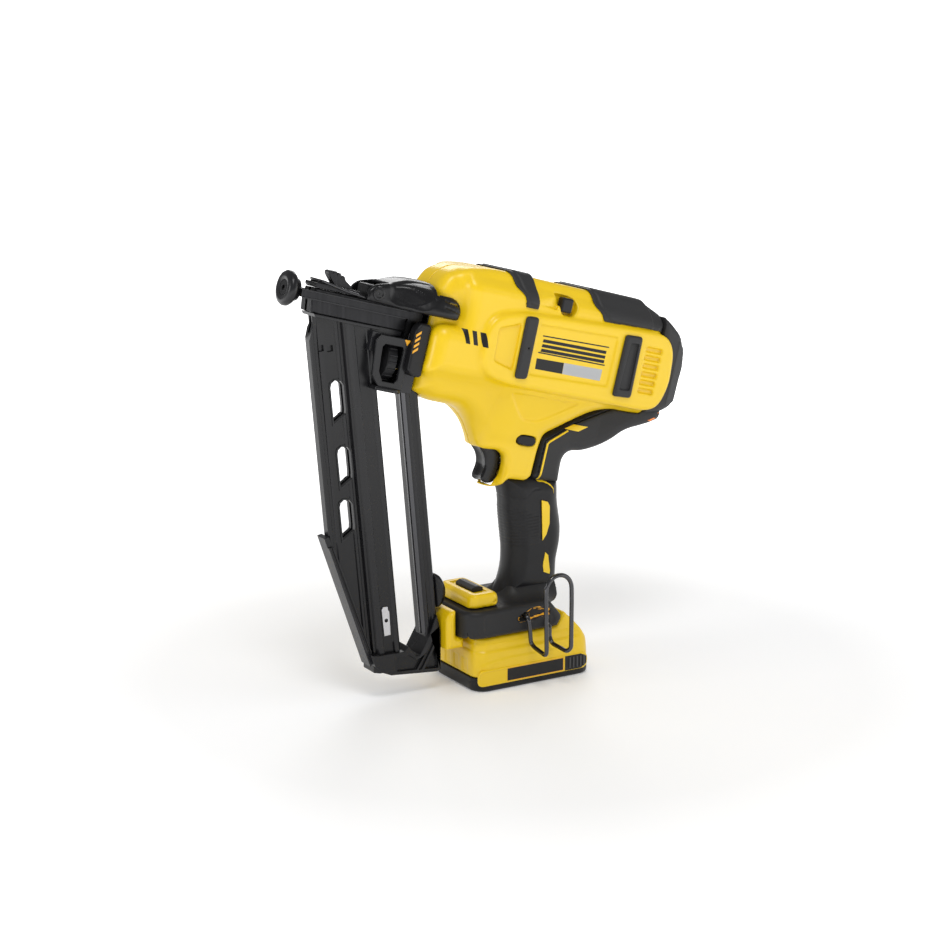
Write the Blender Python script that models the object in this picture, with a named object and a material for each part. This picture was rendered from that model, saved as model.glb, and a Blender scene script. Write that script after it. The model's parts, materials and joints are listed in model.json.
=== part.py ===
"""Cordless finish nailer: a clamshell tool with a slide-on battery and an angled magazine.

Row frame: metres, +Z up, nose towards -X, the tool's left side towards -Y, origin under the battery.
Outlines are written in millimetres in one of three frames:
  tool frame      the row frame itself
  drive frame     x runs back along the nail axis, z is square to it, tilted DRIVE_TILT degrees
  magazine frame  x runs back across the magazine, z runs up along it, leaning MAGAZINE_LEAN degrees
"""
import math

import bmesh
import bpy
from mathutils import Matrix, Vector

# ---- driving dimensions, millimetres and degrees ----
MM = 0.001
GAP = 0.3                   # clearance left between pieces that touch
DRIVE_TILT = 15.0           # nose-up tilt of the nail axis over the battery
DRIVE_HEIGHT = 280.0        # square distance from the origin to the nail axis
MAGAZINE_LEAN = -5.0        # lean of the magazine, 20 degrees off square to the nail axis
NAIL_LENGTH = 45.0

WALL = 3.0                  # moulded wall
BARREL_HALF = 38.0          # half width of the barrel
BARREL_ROUND = 11.0         # radius of its shoulders
BARREL_TOP = 50.0           # roof over the nail axis
POD_HALF = 42.5             # raised side panel
BELLY_HALF = 31.0
NECK_HALF = 20.0
CORE_HALF = 13.0            # handle core under the grip
GRIP_HALF = 18.0
LEVER_ZONE_HALF = 25.5      # the front of the barrel narrows for the jam lever
LEVER_ZONE_BACK = -144.0

BASE_FRONT, BASE_BACK, BASE_HALF = -67.0, 28.0, 37.5
BASE_FLOOR, BASE_TOP = 45.9, 70.0
BATTERY_HALF_LENGTH, BATTERY_HALF_WIDTH = 57.5, 37.5
BATTERY_SPLIT = 12.0        # height where the lower shell meets the upper one
BATTERY_TOP = 45.6
CORNER = 12.0               # plan corner radius of base and battery

FLYWHEEL_CENTRE, FLYWHEEL_R = (-88.0, -30.0), 25.5
RAIL_Y, RAIL_R = 14.0, 2.5
TRIGGER_PIVOT = (-77.0, -87.5)
LEVER_PIVOT = (-217.0, 11.0)
BAIL_PIVOT = (-222.5, 5.5)
DOOR_PIVOT = (-267.0, 7.2)
WHEEL_CENTRE, WHEEL_R = (-192.0, -40.0), 19.0
LATCH_PIVOT = (-69.5, 80.0)
HOOK_WIRE = 3.2
BELT_HOOK_REACH = -66.0

BARREL = [(-168, -42), (-168, 27), (-161, 38), (-147, 46), (-126, 50), (26, 50), (48, 41), (48, -42)]
POD = [(-127, 3), (-120, 14), (-97, 21), (-53, 24), (30, 28), (49, 27), (58, 16), (62, -12), (57, -30),
       (44, -38), (-95, -38), (-114, -35), (-124, -29), (-126, -18)]
BELLY = [(-168, -36), (-168, -57), (-147, -62), (-131, -61), (-118, -70), (-106, -80), (-40, -80),
         (-36, -76), (-11, -56), (14, -40), (14, -36)]
NECK = [(-112, -60), (-104, -85), (-99, -92), (-79, -92.5), (-71, -97), (-70, -117), (-84, -122.3),
        (-76, -124.5), (-66, -121), (-62, -116), (-43, -115), (-38, -111), (-37, -60)]
BELLY_ROOM = [(-165, -34), (-165, -54), (-146, -59), (-132, -58), (-119, -66), (-107, -77), (-41, -77),
              (-39, -74), (-14, -53), (0, -44), (0, -34)]
NECK_ROOM = [(-108, -60), (-101, -84), (-97, -89), (-78, -89.5), (-68, -95), (-67, -113), (-46, -112),
             (-41, -108), (-40, -60)]
CORE = [(-9, 70.5), (39, 70.5), (40, 120), (36, 166), (5.5, 166), (5.5, 179), (-9, 179)]
GRIP = [(-18, 172), (-14, 157), (-14, 143), (-10, 113), (-11, 96), (-15, 82), (-19, 71), (48, 71), (41, 82),
        (42, 97), (45, 112), (45, 126), (41, 150), (42, 169.5), (4, 169.5)]
SWOOSH = [(-36.6, -113.2), (-36.6, -77.4), (-10.6, -56.5), (11, -42.5), (48.7, -42.5), (48.7, -34.7),
          (66, -34.7), (82, -34.7), (82.5, -38), (72, -47), (58, -53), (42, -58), (33, -69), (20,
          -78), (7, -83),
          (-5, -84), (-10, -90), (-8.7, -106.2)]
SWOOSH_ROOM = [(-33, -120), (-33, -79), (-9, -60), (12, -46), (46, -46), (60, -40), (66, -44), (56, -49),
               (40, -54.5), (30, -66), (18, -75), (5, -79.5), (-8, -81), (-13, -90), (-12, -120)]
REAR_CAP = [(48.3, -33), (66, -34), (78, -28), (78.5, 6), (75, 22), (69, 31), (58, 39), (48.3, 44)]
ROOF_END = 47.6
TRIGGER = [(-97, -93.2), (-91, -99), (-89, -108), (-91, -115), (-89, -118.2), (-80, -119), (-73, -116),
           (-73, -96), (-72, -84), (-82, -84), (-84, -93.2)]
LEVER = [(-226, 5), (-226, 14), (-219, 19), (-206, 21), (-186, 29), (-172, 29), (-160, 26), (-149, 17),
         (-147, 7), (-150, 2.6), (-220, 2.6)]
LEVER_PLAN = [(-226, 16.2), (-205, 16.4), (-184, 30), (-172, 33), (-152, 33), (-146, 29)]

SCREWS = ((-150, -50, 28.4), (20, -20, 38.4))      # x, z and underside of the head in the drive frame
SCREW_HEAD_R = 3.2
CELL_COUNT, CELL_PITCH, CELL_R, CELL_REACH = 5, 18.6, 9.1, 32.5
WHEEL_STEPS = 48
WHEEL_RIB_DEPTH = 1.6
FOOT_BLOCK_TOP = 68.5

BLACK, GREY, YELLOW = (0.02, 0.02, 0.022), (0.06, 0.06, 0.065), (0.85, 0.52, 0.01)
STEEL, COPPER, GREEN, BLUE = (0.6, 0.6, 0.62), (0.7, 0.3, 0.12), (0.02, 0.2, 0.08), (0.05, 0.2, 0.35)


# ---- scene and frames ----
def clear_scene():
    for obj in list(bpy.data.objects):
        bpy.data.objects.remove(obj, do_unlink=True)


def frame_empty(name, height, turn_deg):
    """An empty whose local x and z are the axes of the drive or magazine frame."""
    empty = bpy.data.objects.new(name, None)
    turn = Matrix.Rotation(math.radians(turn_deg), 4, "Y")
    empty.matrix_world = turn @ Matrix.Translation((0, 0, height * MM))
    bpy.context.collection.objects.link(empty)
    return empty


def make_material(name, colour, roughness, metallic):
    material = bpy.data.materials.new(name)
    material.use_nodes = True
    shader = material.node_tree.nodes["Principled BSDF"]
    shader.inputs["Base Color"].default_value = (*colour, 1.0)
    shader.inputs["Roughness"].default_value = roughness
    shader.inputs["Metallic"].default_value = metallic
    return material


# ---- solids: every maker returns a bmesh in metres ----
def prism(outline, y0, y1, rounding=0.0, segments=3, round_both=False):
    """An x-z outline carried along y; the far face (or both) gets rounded edges."""
    solid = bmesh.new()
    ring = [solid.verts.new((x * MM, y0 * MM, z * MM)) for x, z in outline]
    face = solid.faces.new(ring)
    grown = bmesh.ops.extrude_face_region(solid, geom=[face])["geom"]
    new_verts = [item for item in grown if isinstance(item, bmesh.types.BMVert)]
    bmesh.ops.translate(solid, verts=new_verts, vec=(0, (y1 - y0) * MM, 0))
    bmesh.ops.recalc_face_normals(solid, faces=solid.faces)
    if rounding:
        levels = (y0, y1) if round_both else (y1,)
        edges = [edge for edge in solid.edges
                 if any(all(abs(v.co.y - y * MM) < 1e-7 for v in edge.verts) for y in levels)]
        bmesh.ops.bevel(solid, geom=edges, offset=rounding * MM, segments=segments, profile=0.5,
                        affect="EDGES", clamp_overlap=True)
    return solid


def slab(plan, z0, z1, rounding=0.0, segments=2):
    """An x-y plan carried up z."""
    solid = prism(plan, z0, z1, rounding, segments, round_both=True)
    solid.transform(Matrix(((1, 0, 0, 0), (0, 0, 1, 0), (0, 1, 0, 0), (0, 0, 0, 1))))
    bmesh.ops.reverse_faces(solid, faces=solid.faces)
    return solid


def section(outline, x0, x1):
    """A y-z section carried along x."""
    solid = prism(outline, x0, x1)
    solid.transform(Matrix(((0, 1, 0, 0), (1, 0, 0, 0), (0, 0, 1, 0), (0, 0, 0, 1))))
    bmesh.ops.reverse_faces(solid, faces=solid.faces)
    return solid


def block(x0, x1, y0, y1, z0, z1, rounding=0.0):
    solid = prism([(x0, z0), (x1, z0), (x1, z1), (x0, z1)], y0, y1)
    if rounding:
        bmesh.ops.bevel(solid, geom=list(solid.edges), offset=rounding * MM, segments=2, profile=0.5,
                        affect="EDGES")
    return solid


def turned(profile, start, direction, sides=20):
    """A solid of revolution: profile is (distance along direction, radius), open ends are capped."""
    solid = bmesh.new()
    turn = Vector(direction).to_track_quat("Z", "X").to_matrix()
    rings = []
    for along, radius in profile:
        ring = []
        for step in range(sides):
            angle = 2 * math.pi * step / sides
            point = Vector((radius * math.cos(angle), radius * math.sin(angle), along))
            ring.append(solid.verts.new((Vector(start) + turn @ point) * MM))
        rings.append(ring)
    for lower, upper in zip(rings, rings[1:]):
        for step in range(sides):
            after = (step + 1) % sides
            solid.faces.new((lower[step], lower[after], upper[after], upper[step]))
    solid.faces.new(reversed(rings[0]))
    solid.faces.new(rings[-1])
    bmesh.ops.recalc_face_normals(solid, faces=solid.faces)
    return solid


def rod(start, end, radius, sides=16):
    reach = Vector(end) - Vector(start)
    return turned([(0, radius), (reach.length, radius)], start, reach, sides)


def wire(points, radius, sides=8):
    """A round wire swept along a list of points, with the turn carried from point to point."""
    solid = bmesh.new()
    path = [Vector(point) for point in points]
    tangents = []
    for index in range(len(path)):
        before, after = path[max(index - 1, 0)], path[min(index + 1, len(path) - 1)]
        tangents.append((after - before).normalized())
    side = tangents[0].orthogonal().normalized()
    rings = []
    for point, tangent in zip(path, tangents):
        side = (side - tangent * side.dot(tangent)).normalized()
        up = tangent.cross(side)
        ring = []
        for step in range(sides):
            angle = 2 * math.pi * step / sides
            offset = side * math.cos(angle) + up * math.sin(angle)
            ring.append(solid.verts.new((point + offset * radius) * MM))
        rings.append(ring)
    for lower, upper in zip(rings, rings[1:]):
        for step in range(sides):
            after = (step + 1) % sides
            solid.faces.new((lower[step], lower[after], upper[after], upper[step]))
    solid.faces.new(reversed(rings[0]))
    solid.faces.new(rings[-1])
    bmesh.ops.recalc_face_normals(solid, faces=solid.faces)
    return solid


def rounded_corners(points, radius, steps=3):
    """The same path with every inner corner replaced by a short curve."""
    path = [Vector(point) for point in points]
    smooth = [path[0]]
    for before, corner, after in zip(path, path[1:], path[2:]):
        reach = min(radius, (before - corner).length * 0.45, (after - corner).length * 0.45)
        start = corner + (before - corner).normalized() * reach
        end = corner + (after - corner).normalized() * reach
        for step in range(steps + 1):
            t = step / steps
            smooth.append(start * (1 - t) ** 2 + corner * 2 * t * (1 - t) + end * t ** 2)
    smooth.append(path[-1])
    return smooth


def coil(start, direction, length, radius, wire_radius, turns, steps=9):
    """A helical spring."""
    turn = Vector(direction).to_track_quat("Z", "X").to_matrix()
    count = turns * steps
    points = []
    for index in range(count + 1):
        angle = 2 * math.pi * index / steps
        local = Vector((radius * math.cos(angle), radius * math.sin(angle), length * index / count))
        points.append(Vector(start) + turn @ local)
    return wire(points, wire_radius, 5)


def combine(first, second, operation):
    """The Boolean of two solids; both are used up."""
    holders = []
    for solid in (first, second):
        mesh = bpy.data.meshes.new("working")
        solid.to_mesh(mesh)
        solid.free()
        holder = bpy.data.objects.new("working", mesh)
        bpy.context.collection.objects.link(holder)
        holders.append(holder)
    modifier = holders[0].modifiers.new("boolean", "BOOLEAN")
    modifier.operation = operation
    modifier.object = holders[1]
    evaluated = holders[0].evaluated_get(bpy.context.evaluated_depsgraph_get())
    result = bmesh.new()
    result.from_mesh(evaluated.to_mesh())
    evaluated.to_mesh_clear()
    for holder in holders:
        mesh = holder.data
        bpy.data.objects.remove(holder)
        bpy.data.meshes.remove(mesh)
    return result


def join(first, *others):
    for other in others:
        first = combine(first, other, "UNION")
    return first


def cut(first, *others):
    for other in others:
        first = combine(first, other, "DIFFERENCE")
    return first


def common(first, other):
    return combine(first, other, "INTERSECT")


def mirrored(solid):
    """The same solid on the other side of the y = 0 plane."""
    solid.transform(Matrix.Diagonal((1, -1, 1, 1)))
    bmesh.ops.reverse_faces(solid, faces=solid.faces)
    return solid


def in_tool_frame(solid, empty):
    solid.transform(empty.matrix_world)
    return solid


def in_local_frame(solid, empty):
    solid.transform(empty.matrix_world.inverted())
    return solid


def place(name, solid, material, parent=None, pivot=(0, 0, 0), sharp_deg=32.0):
    """Make the object: its origin goes to the pivot, and its place is under the parent's frame."""
    pivot = Vector(pivot) * MM
    bmesh.ops.translate(solid, verts=solid.verts, vec=-pivot)
    bmesh.ops.dissolve_degenerate(solid, edges=solid.edges, dist=1e-6)
    bmesh.ops.triangulate(solid, faces=[face for face in solid.faces if len(face.verts) > 4])
    mesh = bpy.data.meshes.new(name)
    solid.to_mesh(mesh)
    solid.free()
    mesh.materials.append(material)
    mesh.shade_smooth()
    mesh.set_sharp_from_angle(angle=math.radians(sharp_deg))
    obj = bpy.data.objects.new(name, mesh)
    bpy.context.collection.objects.link(obj)
    obj.parent = parent
    obj.location = pivot
    return obj


def inset(outline, amount):
    """An outline moved inwards by the same distance on every side."""
    area = sum(x0 * z1 - x1 * z0 for (x0, z0), (x1, z1) in zip(outline, outline[1:] + outline[:1]))
    turn = 1.0 if area > 0 else -1.0
    moved = []
    for index, (x, z) in enumerate(outline):
        before = Vector(outline[index - 1])
        after = Vector(outline[(index + 1) % len(outline)])
        first = (Vector((x, z)) - before).normalized()
        second = (after - Vector((x, z))).normalized()
        normal = Vector((-first.y - second.y, first.x + second.x)).normalized() * turn
        spread = max(0.45, normal.dot(Vector((-first.y, first.x)) * turn))
        moved.append((x + normal.x * amount / spread, z + normal.y * amount / spread))
    return moved


def round_plan(x0, x1, half, radius, steps=4):
    """A rectangle in plan with round corners."""
    plan = []
    corners = ((x1 - radius, half - radius, 0), (x0 + radius, half - radius, 90),
               (x0 + radius, radius - half, 180), (x1 - radius, radius - half, 270))
    for x, y, start in corners:
        for step in range(steps + 1):
            angle = math.radians(start + 90 * step / steps)
            plan.append((x + radius * math.cos(angle), y + radius * math.sin(angle)))
    return plan


def both_sides(outline_half):
    """A plan outline from its +y half."""
    return [(x, y) for x, y in outline_half] + [(x, -y) for x, y in reversed(outline_half)]


# ---- the clamshell ----
def housing_half(drive, magazine, right):
    """One half of the yellow shell: barrel, raised panel, belly, neck and handle core."""
    seam = GAP / 2
    outer = join(prism(BARREL, seam, BARREL_HALF, BARREL_ROUND),
                 prism(POD, BARREL_HALF - 8, POD_HALF, 3.5, 2),
                 prism(BELLY, seam, BELLY_HALF, 9.0),
                 prism(NECK, seam, NECK_HALF, 5.0, 2))
    below = seam - 2
    inner = join(prism(inset(BARREL, WALL), below, BARREL_HALF - WALL, BARREL_ROUND - WALL, 2),
                 prism(BELLY_ROOM, below, BELLY_HALF - WALL, 6.0, 2),
                 prism(NECK_ROOM, below, NECK_HALF - WALL, 2.0, 1))
    inner = cut(inner, block(-175, LEVER_ZONE_BACK + WALL, LEVER_ZONE_HALF - WALL, 60, -1 - WALL, 60))
    shell = cut(outer, inner)
    # room at the front: nosepiece and trip rails, jam lever, magazine bar
    shell = cut(shell,
                block(-175, -160, below, 15.5, -46, 8),
                block(-175, LEVER_ZONE_BACK, LEVER_ZONE_HALF, 60, -1, 60),
                block(-112, -66, below, 10.0, -121.4, -85))
    # the lock-off button's hole
    shell = cut(shell, block(-64, -43, 10, 40, -86.2, -76.8))
    if right:
        for x, z, y in SCREWS:
            shell = cut(shell, rod((x, y - 4, z), (x, y + 20, z), SCREW_HEAD_R + GAP, 12))
    else:
        shell = cut(shell, block(-65, -46, 28, 50, 25.5, 42.5))
    shell = in_tool_frame(shell, drive)
    bar_room = in_tool_frame(block(-87, -72.5, below, 11, 240, 300), magazine)
    shell = cut(shell, bar_room)
    core = cut(prism(CORE, seam, CORE_HALF, 3.0, 2),
               prism([(-6, 60), (36, 60), (37, 120), (33, 163), (2.5, 163), (2.5, 190), (-6, 190)],
                     below, CORE_HALF - WALL))
    shell = join(shell, core)
    return shell if right else mirrored(shell)


def shoulder(clear):
    """The barrel's shoulder arc in section, grown by a clearance."""
    y0, z0 = BARREL_HALF - BARREL_ROUND, BARREL_TOP - BARREL_ROUND
    arc = []
    for step in range(4):
        angle = math.radians(30 * step)
        arc.append((y0 + (BARREL_ROUND + clear) * math.cos(angle),
                z0 + (BARREL_ROUND + clear) * math.sin(angle)))
    return arc


def roof_strap(x0, x1, foot, crown, thick):
    """A rubber strap over the roof and down both shoulders."""
    inner = [(BARREL_HALF + GAP, foot)] + shoulder(GAP)
    outer = [(BARREL_HALF + thick, foot)] + shoulder(thick) + [(25, crown)]
    half_loop = inner[::-1] + outer
    loop = half_loop + [(-y, z) for y, z in reversed(half_loop)]
    return section(loop, x0, x1)


def make_clamshell(drive, magazine, yellow, rubber, black):
    place("left_housing", housing_half(drive, magazine, False), yellow)
    place("right_housing", housing_half(drive, magazine, True), yellow)
    place("front_roof_bumper", roof_strap(-117, -90, 27, 53.5, 1.8), rubber, drive)
    rear = roof_strap(-38, ROOF_END, 29, 54, 1.8)
    slope = prism([(26, 49.5), (60, 35.6), (60, 70), (30, 70), (26, 53)], -50, 50)
    rear = cut(rear, slope)
    place("rear_roof_bumper", rear, rubber, drive)
    cap = cut(prism(REAR_CAP, -37, 37, 8.0, 3, True),
              prism(inset(REAR_CAP, WALL)[0:8], -34, 34),
              block(40, 50, -34, 34, -29, 38))
    pod_room = join(prism(inset(POD, -0.4), BARREL_HALF - 8.4, 50), prism(inset(POD, -0.4), -50,
            8.4 - BARREL_HALF))
    place("rear_cap", cut(cap, pod_room), rubber, drive)
    for side, sign in (("left", -1), ("right", 1)):
        for place_name, x0, x1 in (("front", -95, -83), ("rear", 5, 22)):
            y0, y1 = sorted((sign * (POD_HALF + GAP), sign * (POD_HALF + 3.5)))
            top = 20 if place_name == "front" else 21.5
            bar = block(x0, x1, y0, y1, -31, top, 1.2)
            place(f"{side}_{place_name}_bumper", bar, rubber, drive)
    swoosh = cut(prism(SWOOSH, -22, 22, 7.0, 3, True), prism(SWOOSH_ROOM, -18, 18))
    place("lower_overmould", swoosh, rubber, drive)
    grip = cut(prism(GRIP, -GRIP_HALF, GRIP_HALF, 8.0, 3, True),
               prism([(-9.3, 60), (39.4, 60), (40.4, 120), (36.3, 169.5), (36.3, 180), (-9.3, 180)],
                     -CORE_HALF - GAP, CORE_HALF + GAP),
               in_tool_frame(prism(inset(NECK, -0.4), -NECK_HALF - 1, NECK_HALF + 1), drive))
    place("grip_overmould", grip, black)
    for side, sign in (("left", -1), ("right", 1)):
        y0, y1 = sorted((sign * (GRIP_HALF + GAP), sign * (GRIP_HALF + 0.9)))
        strip = prism([(17, 152), (23, 150), (25, 146), (25, 131), (22, 122), (18, 117)], y0, y1)
        place(f"{side}_grip_inlay", strip, make_material(f"{side}_inlay", YELLOW, 0.5, 0.0))


# ---- base, battery and hook ----
def make_base(yellow, black, rubber):
    side_view = [(BASE_FRONT, BASE_FLOOR), (BASE_FRONT, 67), (BASE_FRONT + 3, BASE_TOP), (15,
            BASE_TOP), (28, 54),
                 (22, BASE_FLOOR)]
    cover = common(prism(side_view, -50, 50),
                   slab(round_plan(BASE_FRONT, BASE_BACK + 14, BASE_HALF, CORNER), 30, 90))
    cover = cut(cover,
                block(-62, 40, -31, 31, 40, 54),
                block(-60, 12, -34, 34, 56.5, 67),
                block(6, 26, -8, 8, 60, 75),
                rod((-10, -30, 61), (-10, -40, 61), HOOK_WIRE / 2 + 0.3, 10),
                rod((11, -30, 52), (11, -40, 52), HOOK_WIRE / 2 + 0.3, 10))
    place("base_cover", cover, rubber)
    place("magazine_mount_block", block(-76.9, BASE_FRONT - GAP, -18, 18, 36, FOOT_BLOCK_TOP, 1.5), yellow)
    mode = slab(round_plan(-58, -28, 28, 8), BASE_TOP + GAP, 82, 2.5)
    mode = cut(mode, block(-49.5, -37.5, -20.5, 20.5, 80.5, 90))
    place("mode_housing", mode, yellow)
    slider = prism([(-48.8, 80.9), (-38.2, 80.9), (-38.2, 84), (-42, 85.6), (-45, 85.6), (-48.8,
            84)], -15, 12)
    place("mode_slider", slider, black, None, (-43.5, -1.5, 81))
    board = slab(round_plan(-56, 4, 30, 2), 60, 61.6)
    place("control_board", board, make_material("circuit_board", GREEN, 0.5, 0.0))
    place("terminal_block", block(-34, 2, -14, 14, 47, 53.7, 1), make_material("terminals", BLACK,
            0.5, 0.0))


def battery_button_solid(grow):
    """The release button's outline on the battery's rear slope, in the tool frame."""
    return block(43 - grow, 53.5 + grow, -13 - grow, 13 + grow, 33 - grow, 41 + grow, 0)


def make_battery(yellow, black):
    plan = round_plan(-BATTERY_HALF_LENGTH, BATTERY_HALF_LENGTH, BATTERY_HALF_WIDTH, CORNER)
    lower = slab(plan, 0, BATTERY_SPLIT - GAP)
    bottom_edges = [edge for edge in lower.edges if all(abs(v.co.z) < 1e-7 for v in edge.verts)]
    bmesh.ops.bevel(lower, geom=bottom_edges, offset=2.5 * MM, segments=2, profile=0.5, affect="EDGES")
    lower = cut(lower, block(-54, 54, -34, 34, 2.5, 20))
    place("battery_lower_shell", lower, black)
    side_view = [(-57.5, BATTERY_SPLIT), (57.5, BATTERY_SPLIT), (58, 15), (54.5, 31), (43, 46), (31,
            57), (28.7, 53.9),
                 (22.3, BATTERY_TOP), (-57.5, BATTERY_TOP)]
    upper = common(prism(side_view, -50, 50), slab(plan, 5, 70))
    rails = [block(-50, 22, y0, y1, 44, 51) for y0, y1 in ((-30, -24), (24, 30))]
    upper = join(upper, *rails)
    upper = cut(upper, block(-54, 52, -34, 34, 0, 33), block(-54, 43.5, -34, 34, 20, 42.5),
                battery_button_solid(GAP))
    place("battery_upper_shell", upper, yellow)
    cells = block(-36.4, 36.4, -31, 31, 16, 21)
    for index in range(CELL_COUNT):
        x = (index - (CELL_COUNT - 1) / 2) * CELL_PITCH
        cells = join(cells, rod((x, -CELL_REACH, 18.5), (x, CELL_REACH, 18.5), CELL_R, 14))
    place("battery_cells", cells, make_material("cell_wrap", BLUE, 0.4, 0.0))
    place("battery_button", battery_button_solid(0), black, None, (43, 0, 37))


def make_belt_hook():
    reach = BELT_HOOK_REACH
    points = [(-10, -31, 61), (-10, -41, 61), (-8.5, -41.5, 50), (-7.5, -41.5, 38), (-7, -46, 35),
              (-7.4, reach, 32.5), (-4.4, reach, 44), (-4.4, reach, 88), (-7.4, reach, 98), (-2,
              reach, 107),
              (8, reach, 106), (17.5, reach, 96), (20.6, reach, 76), (20, reach, 36), (16, reach + 3, 32.5),
              (11.5, -45, 35), (11, -41.5, 40), (11, -41.5, 52), (11, -31, 52)]
    solid = wire(rounded_corners(points, 5.0), HOOK_WIRE / 2)
    place("belt_hook", solid, make_material("hook_wire", BLACK, 0.2, 0.5))


# ---- trigger group ----
def make_trigger(drive, black, steel):
    px, pz = TRIGGER_PIVOT
    blade = prism(TRIGGER, -9, 9, 1.0, 2, True)
    blade = cut(blade, rod((px, -20, pz), (px, 20, pz), 2.0, 12))
    place("trigger", blade, black, drive, (px, 0, pz))
    place("trigger_pin", rod((px, -14.5, pz), (px, 14.5, pz), 1.7, 12), steel, drive)
    spring = coil((-69, 0, -103), (1, 0, 0), 9.5, 2.6, 0.5, 4)
    place("trigger_spring", spring, steel, drive)
    place("trigger_switch", block(-58.5, -44, -8, 8, -107, -91, 1), black, drive)
    lock = prism([(-63.2, -81.5), (-61, -85), (-57, -85.8), (-50, -85.8), (-46, -85), (-43.8,
            -81.5), (-46, -78),
                  (-50, -77.2), (-57, -77.2), (-61, -78)], -22.5, 19.5, 1.0, 1, True)
    place("lock_off_button", lock, black, drive, (-53.5, 0, -81.5))
    stall = block(-61, -50, -39, -31, 28, 40, 1.5)
    place("stall_release_lever", stall, black, drive, (-55.5, -35, 34))


# ---- drive train ----
def make_drive_train(drive, black, steel):
    aluminium = make_material("cast_aluminium", (0.5, 0.5, 0.52), 0.5, 1.0)
    cx, cz = FLYWHEEL_CENTRE
    casting = join(block(-164.5, -160, -21.5, 21.5, -32, 24),
                   block(-162, -137, 18.5, 21.8, -32, 24),
                   block(-162, -137, -21.8, -18.5, -32, 24),
                   block(-140.5, -137, 19, 31.7, -36.9, 18),
                   block(-140.5, -137, -31.7, -19, -36.9, 18),
                   block(-138, -40, 28.5, 31.7, -36.9, 18),
                   block(-138, -40, -31.7, -28.5, -36.9, 18))
    casting = cut(casting, block(-170, -158, -9, 9, -8, 9), rod((cx, -40, cz), (cx, 40, cz), 6.3, 16))
    for y in (-RAIL_Y, RAIL_Y):
        casting = cut(casting, rod((-163, y, 0), (-150, y, 0), RAIL_R + 0.3, 12))
    place("drive_casting", casting, aluminium, drive)
    rotor = turned([(0, 14), (1, FLYWHEEL_R - 1), (2, FLYWHEEL_R), (14, FLYWHEEL_R), (15, FLYWHEEL_R - 2),
                    (21, FLYWHEEL_R - 2), (22, FLYWHEEL_R), (36, FLYWHEEL_R), (37, 14)],
                   (cx, -18.5, cz), (0, 1, 0), 28)
    rotor = cut(rotor, rod((cx, -30, cz), (cx, 30, cz), 3.9, 16))
    place("flywheel_motor", rotor, steel, drive, (cx, 0, cz))
    place("motor_axle", rod((cx, -31.5, cz), (cx, 31.5, cz), 3.6, 16), steel, drive)
    for side, y in (("left", -31.6), ("right", 28.6)):
        bearing = cut(rod((cx, y, cz), (cx, y + 3, cz), 6.0, 18),
                      rod((cx, y - 2, cz), (cx, y + 5, cz), 3.9, 16))
        place(f"{side}_bearing", bearing, steel, drive)
    carrier = join(block(-108, -50, -18, 18, -4, 4, 1), block(-216, -106, -1.4, 1.4, -1.4, 1.4))
    for y in (-RAIL_Y, RAIL_Y):
        carrier = cut(carrier, rod((-120, y, 0), (-40, y, 0), RAIL_R + 0.3, 12))
    place("driver", carrier, steel, drive)
    for side, y in (("left", -RAIL_Y), ("right", RAIL_Y)):
        place(f"{side}_guide_rail", rod((-161.7, y, 0), (-20, y, 0), RAIL_R, 12), steel, drive)
    bridge = cut(block(-32, -24, -28.2, 28.2, -12, 12, 1),
                 rod((-50, -RAIL_Y, 0), (-10, -RAIL_Y, 0), RAIL_R + 0.3, 12),
                 rod((-50, RAIL_Y, 0), (-10, RAIL_Y, 0), RAIL_R + 0.3, 12))
    place("rail_bridge", bridge, aluminium, drive)
    arm = join(prism([(-96, 9), (-96, 18), (-60, 28), (-52, 26), (-52, 18), (-60, 15), (-86, 8)], 7.5, 10),
               prism([(-96, 9), (-96, 18), (-60, 28), (-52, 26), (-52, 18), (-60, 15), (-86, 8)],
                       -10, -7.5),
               prism([(-80, 21), (-60, 26.5), (-60, 24), (-80, 18.5)], -8, 8))
    arm = cut(arm, rod((-88, -15, 12.6), (-88, 15, 12.6), 2.3, 12))
    place("activation_arm", arm, steel, drive, (-57, 0, 22))
    roller = join(rod((-88, -6.5, 12.6), (-88, 6.5, 12.6), 7.0, 20), rod((-88, -11, 12.6), (-88, 11,
            12.6), 2.0, 12))
    place("pinch_roller", roller, steel, drive, (-88, 0, 12.6))
    solenoid = join(rod((-45, 0, 33), (-12, 0, 33), 10, 20), rod((-52, 0, 33), (-44, 0, 33), 3, 12))
    place("solenoid", solenoid, make_material("solenoid", COPPER, 0.4, 0.6), drive)


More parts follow.
